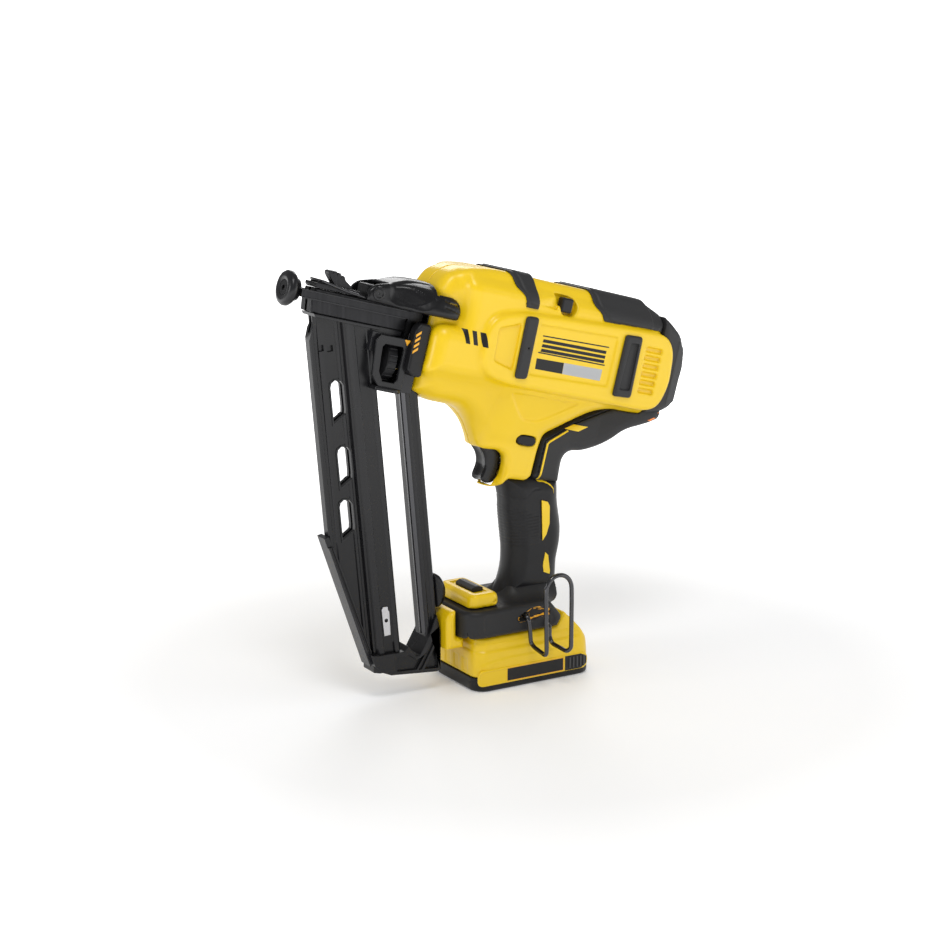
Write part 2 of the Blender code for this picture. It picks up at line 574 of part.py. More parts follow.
# ---- nose ----
def make_nose(drive, black, steel, rubber):
    side_view = [(-268, 4.7), (-269.5, -3), (-268, -14), (-262, -15), (-168.6, -15), (-168.6, 4.7)]
    nose = cut(prism(side_view, -9.5, 9.5, 1.2, 2, True),
               block(-280, -160, -2, 2, -2, 10),
               block(-272, -214, -1.9, 1.9, -20, 0))
    px, pz = LEVER_PIVOT
    lug = cut(block(px - 6, px + 6, -9.2, 9.2, 4.0, 16.5, 1.5), rod((px, -20, pz), (px, 20, pz), 2.8, 14))
    place("nosepiece", join(nose, lug), make_material("nose_black", BLACK, 0.35, 0.6), drive)
    door = join(prism([(-268.9, 6.7), (-267.4, 5.1), (-229, 5.1), (-229, 9.1), (-268.9, 9.1)], -9, 9),
                prism([(-248.5, 8.5), (-254, 15), (-257, 18.5), (-255.5, 20.5), (-251.5, 19.5),
                        (-243.5, 17),
                       (-236, 12), (-232, 8.5)], -4, 4))
    place("nose_door", door, black, drive, (DOOR_PIVOT[0], 0, DOOR_PIVOT[1]))
    bx, bz = BAIL_PIVOT
    bail = rounded_corners([(bx, -11.6, bz), (-240, -11.6, 7.0), (-264, -11.6, 11.0), (-264, 11.6, 11.0),
                            (-240, 11.6, 7.0), (bx, 11.6, bz)], 3.0)
    place("latch_bail", wire(bail, 1.1, 8), steel, drive, (bx, 0, bz))
    shape = common(prism(LEVER, -40, 40), slab(both_sides(LEVER_PLAN), -10, 60))
    hollow = common(prism([(-230, -2), (-230, 12), (-219, 16), (-206, 18), (-186, 26), (-172, 26),
            (-160, 23),
                           (-140, 10), (-140, -2)], -40, 40),
                    slab(both_sides([(-232, 13.2), (-206, 13.4), (-186, 27), (-173, 30), (-140,
                            30)]), -10, 60))
    lever = cut(shape, hollow, block(-170.5, -130, -27.2, 27.2, 0, 60), block(-240, -208, -13.2,
            13.2, -5, 40),
                rod((px, -20, pz), (px, 20, pz), 2.8, 14))
    place("jam_lever", lever, black, drive, (px, 0, pz))
    place("lever_pin", rod((px, -16.8, pz), (px, 16.8, pz), 2.5, 14), steel, drive)
    # contact trip: yoke, two rails, rear cross plate and the adjuster rod
    wx, wz = WHEEL_CENTRE
    trip = join(turned([(0, 6), (12, 6)], (-291, 0, 0), (1, 0, 0), 18),
                block(-281, -277.6, -12.8, 12.8, -4, 2),
                block(-281, -182, 10.2, 12.8, -4, 2),
                block(-281, -182, -12.8, -10.2, -4, 2),
                block(-184, -180, -12.8, 12.8, -44, 2))
    trip = cut(trip, block(-190, -170, -10, 10, -15.6, 10),
               rod((-300, 0, 0), (-270, 0, 0), 2.2, 12))
    trip = join(trip, rod((-203, 0, wz), (-182, 0, wz), 2.8, 12))
    place("contact_trip", trip, black, drive)
    pad = cut(turned([(0, 10.5), (2, 13.5), (5, 14), (8, 12), (10.5, 8.5)], (-292, 0, 0), (1, 0, 0), 24),
              turned([(-1, 8.5), (3, 6.4), (20, 6.4)], (-292, 0, 0), (1, 0, 0), 18))
    place("no_mar_pad", pad, rubber, drive)
    ribs = []
    for index in range(WHEEL_STEPS):
        angle = 2 * math.pi * index / WHEEL_STEPS
        radius = WHEEL_R if index % 4 < 2 else WHEEL_R - WHEEL_RIB_DEPTH
        ribs.append((radius * math.cos(angle), wz + radius * math.sin(angle)))
    wheel = cut(section(ribs, wx - 5, wx + 5), rod((wx - 9, 0, wz), (wx + 9, 0, wz), 3.2, 16))
    place("depth_wheel", wheel, black, drive, (wx, 0, wz))
    plates = [prism([(-212, -24), (-196, -21), (-180.3, -22), (-180.3, -62), (-200, -62), (-209,
            -50)], y0, y1)
              for y0, y1 in ((17.6, 20.6), (-20.6, -17.6))]
    guard = join(plates[0], plates[1], block(-193.5, -180.3, -19, 19, -62, -59.6))
    guard = cut(guard, block(-203, -183, -30, 30, -50, -30))
    for y0, y1 in ((-26, -16), (16, 26)):
        guard = join(guard, prism([(-181, -8), (-176, -5), (-168.3, -5), (-168.3, -46), (-176, -46),
                (-181, -42)],
                                  y0, y1))
    place("depth_guard", guard, black, drive)


# ---- magazine ----
def make_magazine(magazine, black, steel):
    plate = [(-162, 157), (-162, 318), (-157.5, 331), (-157.5, 337.8), (-128, 327), (-128, 52),
            (-134.5, 52)]
    channel = [(-130, 56), (-130, 327.8), (-110, 320.5), (-110, 60), (-113, 56)]
    track = join(prism(plate, -4, 4), prism(channel, -10, 10))
    windows = [(-148, 249, 283), (-147.5, 196, 229), (-150, 153, 185.5)]
    for x, low, high in windows:
        hole = [(x, low), (x + 11, low + 6), (x + 11.5, low + 10), (x + 11.5, high - 5), (x + 8.5,
                high - 1),
                (x + 4, high), (x + 1, high - 2), (x, high - 5)]
        track = cut(track, prism(hole, -12, 12))
    track = cut(track, prism([(-160, 158), (-160, 345), (-111.5, 345), (-111.5, 40), (-131, 40)],
            -1.6, 1.6),
                block(-122.5, -117.5, 0, 12, 74, 302))
    place("magazine_track", track, black, magazine)
    rise = math.tan(math.radians(DRIVE_TILT - MAGAZINE_LEAN))
    reach = NAIL_LENGTH * math.cos(math.radians(DRIVE_TILT - MAGAZINE_LEAN))
    heads, top, low = -112.6, 335.6, 301.0
    strip = [(heads, low), (heads, top), (heads - reach, top + reach * rise), (heads - reach,
            low + reach * rise)]
    place("nail_strip", prism(strip, -0.9, 0.9), steel, magazine)
    gap = 0.5
    push = [(heads - reach, low + reach * rise - gap), (heads, low - gap), (heads, low - 12),
            (heads - reach, low - 12)]
    pusher = join(prism(push, -1.2, 1.2), block(-122, -118, 1, 13, 285, 297), block(-125, -115, 11,
            15, 281, 301, 1))
    place("pusher", pusher, steel, magazine)
    bar = [(-85, 58), (-85, 276), (-73, 276), (-73, 58)]
    rear_bar = join(prism(bar, -9.5, 9.5, 2.0, 2, True), rod((-84.5, -6.5, 58), (-84.5, -6.5, 268),
            3.0, 12))
    place("magazine_bar", rear_bar, black, magazine)
    # foot: a rib frame that ties track, bar and mount block together
    foot = prism([(-143, 41), (-139, 31), (-131, 24), (-124, 21), (-80.5, 17), (-77.3, 18.5),
            (-77.3, 51), (-81, 66),
                  (-84, 60), (-92, 45), (-131, 45)], -13, 13, 1.5, 1, True)
    strut = prism([(-166.5, 158), (-162.5, 158.5), (-134.9, 53.5), (-133, 44), (-138, 42)], -8, 8)
    strut.transform(magazine.matrix_world)
    foot = join(foot, strut)
    track_room = [block(-135.2, -109.5, -10.5, 10.5, 51.2, 90), block(-87.9, -72, -10, 10, 57, 90)]
    for room in track_room:
        foot = cut(foot, in_tool_frame(room, magazine))
    foot = in_local_frame(foot, magazine)
    place("magazine_foot", foot, black, magazine)
    plate_solid = cut(block(-125, -117, -10.9, -10.3, 64, 92), rod((-121, -13, 78), (-121, -8, 78),
            1.5, 12))
    place("wear_plate", plate_solid, steel, magazine)
    lx, lz = LATCH_PIVOT
    dome = prism([(-72.2, 77), (-67, 76), (-61.5, 82), (-60.5, 92), (-64, 102), (-70, 106), (-72.2,
            106)], -8, 8,
                 2.0, 2, True)
    place("magazine_latch", dome, black, magazine, (lx, 0, lz))


def make_screws(drive, steel):
    for index, (x, z, y) in enumerate(SCREWS):
        profile = [(0, 1.6), (20, 1.6), (20.2, SCREW_HEAD_R), (22.2, SCREW_HEAD_R)]
        screw = turned(profile, (x, y - 20, z), (0, 1, 0), 12)
        place(f"housing_screw_{index + 1}", screw, steel, drive)


def main():
    clear_scene()
    drive = frame_empty("drive_frame", DRIVE_HEIGHT, DRIVE_TILT)
    magazine = frame_empty("magazine_frame", 0.0, MAGAZINE_LEAN)
    bpy.context.view_layer.update()
    yellow = make_material("yellow_nylon", YELLOW, 0.42, 0.0)
    black = make_material("black_nylon", BLACK, 0.45, 0.0)
    rubber = make_material("grey_rubber", GREY, 0.7, 0.0)
    steel = make_material("steel", STEEL, 0.3, 1.0)
    make_clamshell(drive, magazine, yellow, rubber, black)
    make_base(yellow, black, rubber)
    make_battery(yellow, black)
    make_belt_hook()
    make_trigger(drive, black, steel)
    make_drive_train(drive, black, steel)
    make_nose(drive, black, steel, rubber)
    make_magazine(magazine, black, steel)
    make_screws(drive, steel)


main()
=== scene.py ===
"""Looks for the cordless finish nailer: smooth moulded shells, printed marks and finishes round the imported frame."""
import json
import math

import bmesh
import bpy
import numpy as np
from mathutils import Matrix, Vector


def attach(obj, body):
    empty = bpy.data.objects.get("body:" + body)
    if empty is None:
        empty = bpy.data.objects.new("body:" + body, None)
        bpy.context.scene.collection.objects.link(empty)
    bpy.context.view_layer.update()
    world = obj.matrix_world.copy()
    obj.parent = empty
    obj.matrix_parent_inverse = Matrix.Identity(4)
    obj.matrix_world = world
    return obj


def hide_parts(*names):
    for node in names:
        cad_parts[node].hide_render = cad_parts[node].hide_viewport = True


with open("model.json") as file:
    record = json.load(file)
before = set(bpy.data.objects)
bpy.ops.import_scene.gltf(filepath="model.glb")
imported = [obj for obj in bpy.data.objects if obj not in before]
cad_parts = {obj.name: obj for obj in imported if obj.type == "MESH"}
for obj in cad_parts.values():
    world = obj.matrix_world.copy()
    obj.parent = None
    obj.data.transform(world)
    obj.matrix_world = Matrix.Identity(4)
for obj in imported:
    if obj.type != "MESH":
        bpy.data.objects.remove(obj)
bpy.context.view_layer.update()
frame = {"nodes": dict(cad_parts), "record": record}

MM = 0.001
WHEEL_Z = -40.0
REACH = -65.7
DRIVE = Matrix.Rotation(math.radians(15), 4, "Y") @ Matrix.Translation((0, 0, 0.280))
MAGAZINE = Matrix.Rotation(math.radians(-5), 4, "Y")
WORLD = Matrix.Identity(4)
FINE = 1.0


# ---- signed distance fields on a grid, millimetres, negative inside ----
class Grid:
    def __init__(self, low, high, step):
        self.low, self.step = np.array(low, float), step
        counts = [int(math.ceil((b - a) / step)) + 1 for a, b in zip(low, high)]
        axes = [(a + step * np.arange(n)).astype(np.float32) for a, n in zip(low, counts)]
        self.x = axes[0][:, None, None]
        self.y = axes[1][None, :, None]
        self.z = axes[2][None, None, :]


def outline(points, a, b):
    """Distance to a closed outline in the plane of a and b."""
    pts = np.array(points, np.float32)
    best, inside = None, False
    for (x0, y0), (x1, y1) in zip(pts, np.roll(pts, -1, 0)):
        ex, ey = x1 - x0, y1 - y0
        wx, wy = a - x0, b - y0
        t = np.clip((wx * ex + wy * ey) / (ex * ex + ey * ey + 1e-9), 0, 1)
        d = (wx - ex * t) ** 2 + (wy - ey * t) ** 2
        best = d if best is None else np.minimum(best, d)
        crosses = ((y0 <= b) & (b < y1)) | ((y1 <= b) & (b < y0))
        slope = ex / ey if abs(ey) > 1e-6 else 0.0
        inside = inside ^ (crosses & (a < x0 + (b - y0) * slope))
    return np.where(inside, -1, 1) * np.sqrt(best)


def soft(points, radius=6.0, steps=4):
    """The outline with its corners rounded; a point may carry its own radius."""
    out = []
    count = len(points)
    for i, item in enumerate(points):
        p = np.array(item[:2], float)
        r = item[2] if len(item) > 2 else radius
        before = np.array(points[i - 1][:2], float) - p
        after = np.array(points[(i + 1) % count][:2], float) - p
        lb, la = np.linalg.norm(before), np.linalg.norm(after)
        if r <= 0:
            out.append(tuple(p))
            continue
        p0, p1 = p + before / lb * min(r, lb * 0.48), p + after / la * min(r, la * 0.48)
        for k in range(steps + 1):
            t = k / steps
            out.append(tuple((1 - t) ** 2 * p0 + 2 * t * (1 - t) * p + t * t * p1))
    return out


def carry(flat, along, low, high, r):
    """A flat field carried along the third axis from low to high, its rims rounded by r."""
    a = flat + r
    b = np.maximum(low - along, along - high) + r
    return np.minimum(np.maximum(a, b), 0) + np.hypot(np.maximum(a, 0), np.maximum(b, 0)) - r


def box(g, x0, x1, y0, y1, z0, z1, r=0.5):
    d = [np.maximum(lo - v, v - hi) + r for v, lo, hi in ((g.x, x0, x1), (g.y, y0, y1), (g.z, z0, z1))]
    inner = np.minimum(np.maximum(np.maximum(d[0], d[1]), d[2]), 0)
    return inner + np.sqrt(sum(np.maximum(v, 0) ** 2 for v in d)) - r


def union(a, b, k=0.0):
    if k <= 0:
        return np.minimum(a, b)
    h = np.clip(0.5 + 0.5 * (b - a) / k, 0, 1)
    return b * (1 - h) + a * h - k * h * (1 - h)


def cut(a, b, k=0.0):
    return -union(-a, b, k)


def common(a, b, k=0.0):
    return -union(-a, -b, k)


CORNERS = [(i, j, k) for i in (0, 1) for j in (0, 1) for k in (0, 1)]
EDGES = [(a, b) for a in range(8) for b in range(a + 1, 8)
         if sum(abs(p - q) for p, q in zip(CORNERS[a], CORNERS[b])) == 1]


def skin(g, field):
    """The zero surface of a field as points (in millimetres) and quads."""
    field = np.ascontiguousarray(field, np.float32)
    inside = field < 0
    counts = sum(inside[i:inside.shape[0] - 1 + i, j:inside.shape[1] - 1 + j, k:inside.shape[2] - 1 + k].astype(np.int8)
                 for i, j, k in CORNERS)
    cells = np.argwhere((counts > 0) & (counts < 8))
    values = np.stack([field[cells[:, 0] + i, cells[:, 1] + j, cells[:, 2] + k] for i, j, k in CORNERS], 1)
    total, hits = np.zeros((len(cells), 3)), np.zeros(len(cells))
    for a, b in EDGES:
        fa, fb = values[:, a], values[:, b]
        mask = (fa < 0) != (fb < 0)
        t = np.where(mask, fa / np.where(mask, fa - fb, 1), 0)[:, None]
        ca, cb = np.array(CORNERS[a], float), np.array(CORNERS[b], float)
        total += np.where(mask[:, None], ca + t * (cb - ca), 0)
        hits += mask
    local = total / hits[:, None]
    # one Newton step towards the true surface
    fx, fy, fz = local.T
    weights = np.stack([(fx if i else 1 - fx) * (fy if j else 1 - fy) * (fz if k else 1 - fz) for i, j, k in CORNERS], 1)
    here = (weights * values).sum(1)
    slope = np.zeros((len(cells), 3))
    for axis in range(3):
        for index, corner in enumerate(CORNERS):
            others = [m for m in range(3) if m != axis]
            w = np.ones(len(cells))
            for m in others:
                w = w * (local[:, m] if corner[m] else 1 - local[:, m])
            slope[:, axis] += (1 if corner[axis] else -1) * w * values[:, index]
    size = (slope ** 2).sum(1)
    move = -(here / np.maximum(size, 1e-6))[:, None] * slope
    local = local + np.clip(move, -0.4, 0.4)
    points = g.low + g.step * (cells + np.clip(local, -0.2, 1.2))
    index = np.full(counts.shape, -1, np.int64)
    index[cells[:, 0], cells[:, 1], cells[:, 2]] = np.arange(len(cells))
    quads = []
    for axis in range(3):
        lead = [slice(None)] * 3
        lag = [slice(None)] * 3
        lead[axis], lag[axis] = slice(1, None), slice(None, -1)
        first = inside[tuple(lag)]
        change = first != inside[tuple(lead)]
        spots = np.argwhere(change)
        u, v = [m for m in range(3) if m != axis]
        spots = spots[(spots[:, u] > 0) & (spots[:, v] > 0)]
        spots = spots[(spots[:, u] < inside.shape[u] - 1) & (spots[:, v] < inside.shape[v] - 1)]
        ring = []
        for du, dv in ((1, 1), (0, 1), (0, 0), (1, 0)):
            spot = spots.copy()
            spot[:, u] -= du
            spot[:, v] -= dv
            ring.append(index[spot[:, 0], spot[:, 1], spot[:, 2]])
        quad = np.stack(ring, 1)
        outward = first[spots[:, 0], spots[:, 1], spots[:, 2]]
        if axis == 1:
            outward = ~outward
        quad[~outward] = quad[~outward][:, ::-1]
        quads.append(quad)
    return points, np.concatenate(quads)


def smooth(points, quads, times):
    """A few light passes that even out the grid's steps."""
    edges = np.concatenate([quads[:, [0, 1]], quads[:, [1, 2]], quads[:, [2, 3]], quads[:, [3, 0]]])
    for _ in range(times):
        for weight in (0.5, -0.52):
            total, hits = np.zeros_like(points), np.zeros(len(points))
            np.add.at(total, edges[:, 0], points[edges[:, 1]])
            np.add.at(hits, edges[:, 0], 1)
            points = points + weight * (total / np.maximum(hits, 1)[:, None] - points)
    return points


def mesh_of(name, points, faces, matrix):
    mesh = bpy.data.meshes.new(name)
    mesh.from_pydata((points * MM).tolist(), [], [[int(v) for v in f] for f in faces])
    mesh.transform(matrix)
    mesh.polygons.foreach_set("use_smooth", [True] * len(mesh.polygons))
    mesh.update()
    return mesh


def moulded(name, g, field, matrix, material, body="tool", replaces=(), mirror=False, relax=1):
    """A piece from a field; mirror turns it over to the other side of the seam."""
    points, quads = skin(g, field)
    points = smooth(points, quads, relax)
    if mirror:
        points = points * np.array((1, -1, 1))
        quads = quads[:, ::-1]
    obj = bpy.data.objects.new(name, mesh_of(name, points, quads, matrix))
    return finish_piece(obj, material, body, replaces)


def solid(name, shape, matrix, material, body="tool", replaces=(), bevel=0.5, angle=32, segments=2):
    """A piece from a bmesh in millimetres, its sharp edges rounded."""
    bmesh.ops.recalc_face_normals(shape, faces=shape.faces)
    mesh = bpy.data.meshes.new(name)
    shape.to_mesh(mesh)
    shape.free()
    mesh.transform(matrix @ Matrix.Scale(MM, 4))
    mesh.polygons.foreach_set("use_smooth", [True] * len(mesh.polygons))
    obj = bpy.data.objects.new(name, mesh)
    if bevel:
        rounding = obj.modifiers.new("rounding", "BEVEL")
        rounding.width, rounding.segments = bevel * MM, segments
        rounding.limit_method, rounding.angle_limit = "ANGLE", math.radians(angle)
        rounding.harden_normals = False
    split = obj.modifiers.new("creases", "EDGE_SPLIT")
    split.split_angle, split.use_edge_sharp = math.radians(50), False
    obj.modifiers.new("even normals", "WEIGHTED_NORMAL")
    return finish_piece(obj, material, body, replaces)


def prism(points, y0, y1):
    """An x-z outline carried from y0 to y1."""
    shape = bmesh.new()
    face = shape.faces.new([shape.verts.new((x, y0, z)) for x, z in points])
    grown = bmesh.ops.extrude_face_region(shape, geom=[face])["geom"]
    bmesh.ops.translate(shape, verts=[v for v in grown if isinstance(v, bmesh.types.BMVert)], vec=(0, y1 - y0, 0))
    return shape


def block(x0, x1, y0, y1, z0, z1):
    return prism([(x0, z0), (x1, z0), (x1, z1), (x0, z1)], y0, y1)


def lathe(profile, start, axis, steps=48):
    """A closed profile of (along, radius) turned about an axis."""
    axis = Vector(axis).normalized()
    side = axis.orthogonal().normalized()
    other = axis.cross(side)
    shape = bmesh.new()
    rings = []
    for along, radius in profile:
        centre = Vector(start) + axis * along
        rings.append([shape.verts.new(centre + (side * math.cos(2 * math.pi * k / steps)
                                                + other * math.sin(2 * math.pi * k / steps)) * radius)
                      for k in range(steps)])
    for a, b in zip(rings, rings[1:] + rings[:1]):
        for k in range(steps):
            shape.faces.new((a[k], a[(k + 1) % steps], b[(k + 1) % steps], b[k]))
    return shape


def rod(start, end, radius, steps=24):
    length = (Vector(end) - Vector(start)).length
    shape = bmesh.new()
    turn = (Vector(end) - Vector(start)).to_track_quat("Z", "Y").to_matrix().to_4x4()
    bmesh.ops.create_cone(shape, cap_ends=True, segments=steps, radius1=radius, radius2=radius, depth=length,
                          matrix=Matrix.Translation((Vector(start) + Vector(end)) / 2) @ turn)
    return shape


def tube(points, radius, rounding=4.0, steps=14):
    """A round wire through the points, its bends rounded."""
    path = [Vector(points[0])]
    for before, here, after in zip(points, points[1:], points[2:]):
        before, here, after = Vector(before), Vector(here), Vector(after)
        a, b = before - here, after - here
        r = min(rounding, a.length * 0.45, b.length * 0.45)
        p0, p1 = here + a.normalized() * r, here + b.normalized() * r
        for k in range(6):
            t = k / 5
            path.append(p0 * (1 - t) ** 2 + here * 2 * t * (1 - t) + p1 * t * t)
    path.append(Vector(points[-1]))
    shape = bmesh.new()
    rings = []
    side = None
    for i, p in enumerate(path):
        ahead = (path[min(i + 1, len(path) - 1)] - path[max(i - 1, 0)]).normalized()
        side = ahead.orthogonal().normalized() if side is None else (side - ahead * side.dot(ahead)).normalized()
        other = ahead.cross(side)
        rings.append([shape.verts.new(p + (side * math.cos(2 * math.pi * k / steps)
                                           + other * math.sin(2 * math.pi * k / steps)) * radius)
                      for k in range(steps)])
    for a, b in zip(rings, rings[1:]):
        for k in range(steps):
            shape.faces.new((a[k], a[(k + 1) % steps], b[(k + 1) % steps], b[k]))
    shape.faces.new(rings[0][::-1])
    shape.faces.new(rings[-1])
    return shape


def merged(*shapes):
    """Several bmeshes in one; they may touch or cross."""
    first = shapes[0]
    for other in shapes[1:]:
        mesh = bpy.data.meshes.new("part")
        other.to_mesh(mesh)
        other.free()
        first.from_mesh(mesh)
        bpy.data.meshes.remove(mesh)
    return first


def carved(base, *tools, joined=()):
    """base joined with some shapes, with the tools cut out of it."""
    def as_object(shape):
        mesh = bpy.data.meshes.new("part")
        bmesh.ops.recalc_face_normals(shape, faces=shape.faces)
        shape.to_mesh(mesh)
        shape.free()
        obj = bpy.data.objects.new("part", mesh)
        bpy.context.collection.objects.link(obj)
        return obj
    target = as_object(base)
    others = []
    for operation, shapes in (("UNION", joined), ("DIFFERENCE", tools)):
        for shape in shapes:
            other = as_object(shape)
            others.append(other)
            modifier = target.modifiers.new("step", "BOOLEAN")
            modifier.operation, modifier.solver, modifier.object = operation, "EXACT", other
    graph = bpy.context.evaluated_depsgraph_get()
    result = bmesh.new()
    result.from_mesh(target.evaluated_get(graph).to_mesh())
    for obj in [target] + others:
        mesh = obj.data
        bpy.data.objects.remove(obj)
        bpy.data.meshes.remove(mesh)
    bmesh.ops.dissolve_limit(result, angle_limit=0.01, verts=result.verts, edges=result.edges)
    return result


def laid(name, quads, matrix, target, side, material, body="tool", proud=0.25, depth=0.6, cells=(8, 3)):
    """A thin printed or inlaid patch, laid on a piece from one side (-1 or 1) along y.

    quads are four-corner patches in the frame's x-z plane; neighbours share an edge.
    """
    from mathutils.bvhtree import BVHTree
    graph = bpy.context.evaluated_depsgraph_get()
    tree = BVHTree.FromObject(target, graph)
    shape = bmesh.new()
    nu, nv = cells
    turn = matrix.to_3x3()
    ray = turn @ Vector((0, -side, 0))
    for a, b, c, d in quads:
        rows = []
        for i in range(nu + 1):
            row = []
            for j in range(nv + 1):
                u, v = i / nu, j / nv
                x = (1 - u) * (1 - v) * a[0] + u * (1 - v) * b[0] + u * v * c[0] + (1 - u) * v * d[0]
                z = (1 - u) * (1 - v) * a[1] + u * (1 - v) * b[1] + u * v * c[1] + (1 - u) * v * d[1]
                start = matrix @ Vector((x * MM, side * 0.06, z * MM))
                hit = tree.ray_cast(start, ray)[0]
                row.append(shape.verts.new(hit - ray * proud * MM if hit else start + ray * 0.04))
            rows.append(row)
        for i in range(nu):
            for j in range(nv):
                shape.faces.new((rows[i][j], rows[i + 1][j], rows[i + 1][j + 1], rows[i][j + 1]))
    bmesh.ops.remove_doubles(shape, verts=shape.verts, dist=1e-6)
    grown = bmesh.ops.extrude_face_region(shape, geom=list(shape.faces))["geom"]
    bmesh.ops.translate(shape, verts=[v for v in grown if isinstance(v, bmesh.types.BMVert)], vec=ray * depth * MM)
    bmesh.ops.recalc_face_normals(shape, faces=shape.faces)
    mesh = bpy.data.meshes.new(name)
    shape.to_mesh(mesh)
    shape.free()
    return finish_piece(bpy.data.objects.new(name, mesh), material, body)


def ribbon(path, width):
    """Quads along a path, mitred, for laid()."""
    left, right = [], []
    for i, p in enumerate(path):
        a = Vector(path[max(i - 1, 0)])
        b = Vector(path[min(i + 1, len(path) - 1)])
        ahead = (b - a).normalized()
        side = Vector((-ahead.y, ahead.x)) * width / 2
        left.append((p[0] + side.x, p[1] + side.y))
        right.append((p[0] - side.x, p[1] - side.y))
    return [(left[i], left[i + 1], right[i + 1], right[i]) for i in range(len(path) - 1)]


def finish_piece(obj, material, body="tool", replaces=()):
    bpy.context.collection.objects.link(obj)
    obj.data.materials.append(material)
    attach(obj, body)
    if replaces:
        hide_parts(*replaces)
    return obj


# ---- finishes ----
def shader_of(name, colour, roughness, metallic=0.0):
    material = bpy.data.materials.new(name)
    material.use_nodes = True
    nodes, links = material.node_tree.nodes, material.node_tree.links
    shader = nodes["Principled BSDF"]
    shader.inputs["Base Color"].default_value = (*colour, 1)
    shader.inputs["Roughness"].default_value = roughness
    shader.inputs["Metallic"].default_value = metallic
    return material, nodes, links, shader


def noise(nodes, links, coords, scale, detail=3.0, rough=0.55):
    node = nodes.new("ShaderNodeTexNoise")
    node.inputs["Scale"].default_value = scale
    node.inputs["Detail"].default_value = detail
    node.inputs["Roughness"].default_value = rough
    links.new(coords.outputs["Object"], node.inputs["Vector"])
    return node


def ramp(nodes, links, value, low, high, dark, light):
    node = nodes.new("ShaderNodeMapRange")
    node.inputs["From Min"].default_value = low
    node.inputs["From Max"].default_value = high
    node.inputs["To Min"].default_value = dark
    node.inputs["To Max"].default_value = light
    links.new(value, node.inputs["Value"])
    return node


def mix_colour(nodes, links, factor, a, b):
    node = nodes.new("ShaderNodeMix")
    node.data_type = "RGBA"
    links.new(factor, node.inputs["Factor"])
    for socket, value in (("A", a), ("B", b)):
        if isinstance(value, tuple):
            node.inputs[6 if socket == "A" else 7].default_value = (*value, 1)
        else:
            links.new(value, node.inputs[6 if socket == "A" else 7])
    return node.outputs[2]


def moulded_plastic(name, colour, roughness, grain=0.05, grain_scale=1800, edge_highlight=1.25, coat=0.0, vary=0.08):
    """Moulded plastic: fine spark grain, faint mottling, and sharp edges lightened in colour as a painted highlight."""
    material, nodes, links, shader = shader_of(name, colour, roughness)
    coords = nodes.new("ShaderNodeTexCoord")
    cloud = noise(nodes, links, coords, 22, 4)
    fine = noise(nodes, links, coords, grain_scale, 2)
    geometry = nodes.new("ShaderNodeNewGeometry")
    # sharp convex edges, found by pointiness, get a lighter colour: a painted edge highlight
    edge = ramp(nodes, links, geometry.outputs["Pointiness"], 0.52, 0.60, 0, 1)
    dark = tuple(c * (1 - vary) for c in colour)
    light = tuple(min(c * (1 + vary), 1) for c in colour)
    body = mix_colour(nodes, links, cloud.outputs["Fac"], dark, light)
    scaled = ramp(nodes, links, edge.outputs["Result"], 0, 1, 0, 0.6)
    links.new(mix_colour(nodes, links, scaled.outputs["Result"], body, tuple(min(c * edge_highlight, 1) for c in colour)),
              shader.inputs["Base Color"])
    links.new(ramp(nodes, links, cloud.outputs["Fac"], 0.3, 0.7, roughness - 0.05, roughness + 0.06).outputs["Result"],
              shader.inputs["Roughness"])
    bump = nodes.new("ShaderNodeBump")
    bump.inputs["Strength"].default_value = grain
    bump.inputs["Distance"].default_value = 0.0004
    links.new(fine.outputs["Fac"], bump.inputs["Height"])
    links.new(bump.outputs["Normal"], shader.inputs["Normal"])
    shader.inputs["Specular IOR Level"].default_value = 0.5 if max(colour) > 0.2 else 0.3
    if coat:
        shader.inputs["Coat Weight"].default_value = coat
        shader.inputs["Coat Roughness"].default_value = 0.25
    return material


def metal(name, colour, roughness, brushed=600, metallic=1.0, bump_strength=0.05):
    """Ground or oxidised metal: drawn scratches, patchy roughness."""
    material, nodes, links, shader = shader_of(name, colour, roughness, metallic)
    coords = nodes.new("ShaderNodeTexCoord")
    stretch = nodes.new("ShaderNodeMapping")
    stretch.inputs["Scale"].default_value = (1, 1, 0.04)
    links.new(coords.outputs["Object"], stretch.inputs["Vector"])
    lines = nodes.new("ShaderNodeTexNoise")
    lines.inputs["Scale"].default_value = brushed
    lines.inputs["Detail"].default_value = 4
    links.new(stretch.outputs["Vector"], lines.inputs["Vector"])
    patch = noise(nodes, links, coords, 40, 3)
    links.new(mix_colour(nodes, links, patch.outputs["Fac"], tuple(c * 0.82 for c in colour),
                         tuple(min(c * 1.12, 1) for c in colour)), shader.inputs["Base Color"])
    links.new(ramp(nodes, links, lines.outputs["Fac"], 0.3, 0.7, roughness - 0.07, roughness + 0.1).outputs["Result"],
              shader.inputs["Roughness"])
    bump = nodes.new("ShaderNodeBump")
    bump.inputs["Strength"].default_value = bump_strength
    bump.inputs["Distance"].default_value = 0.0002
    links.new(lines.outputs["Fac"], bump.inputs["Height"])
    links.new(bump.outputs["Normal"], shader.inputs["Normal"])
    return material


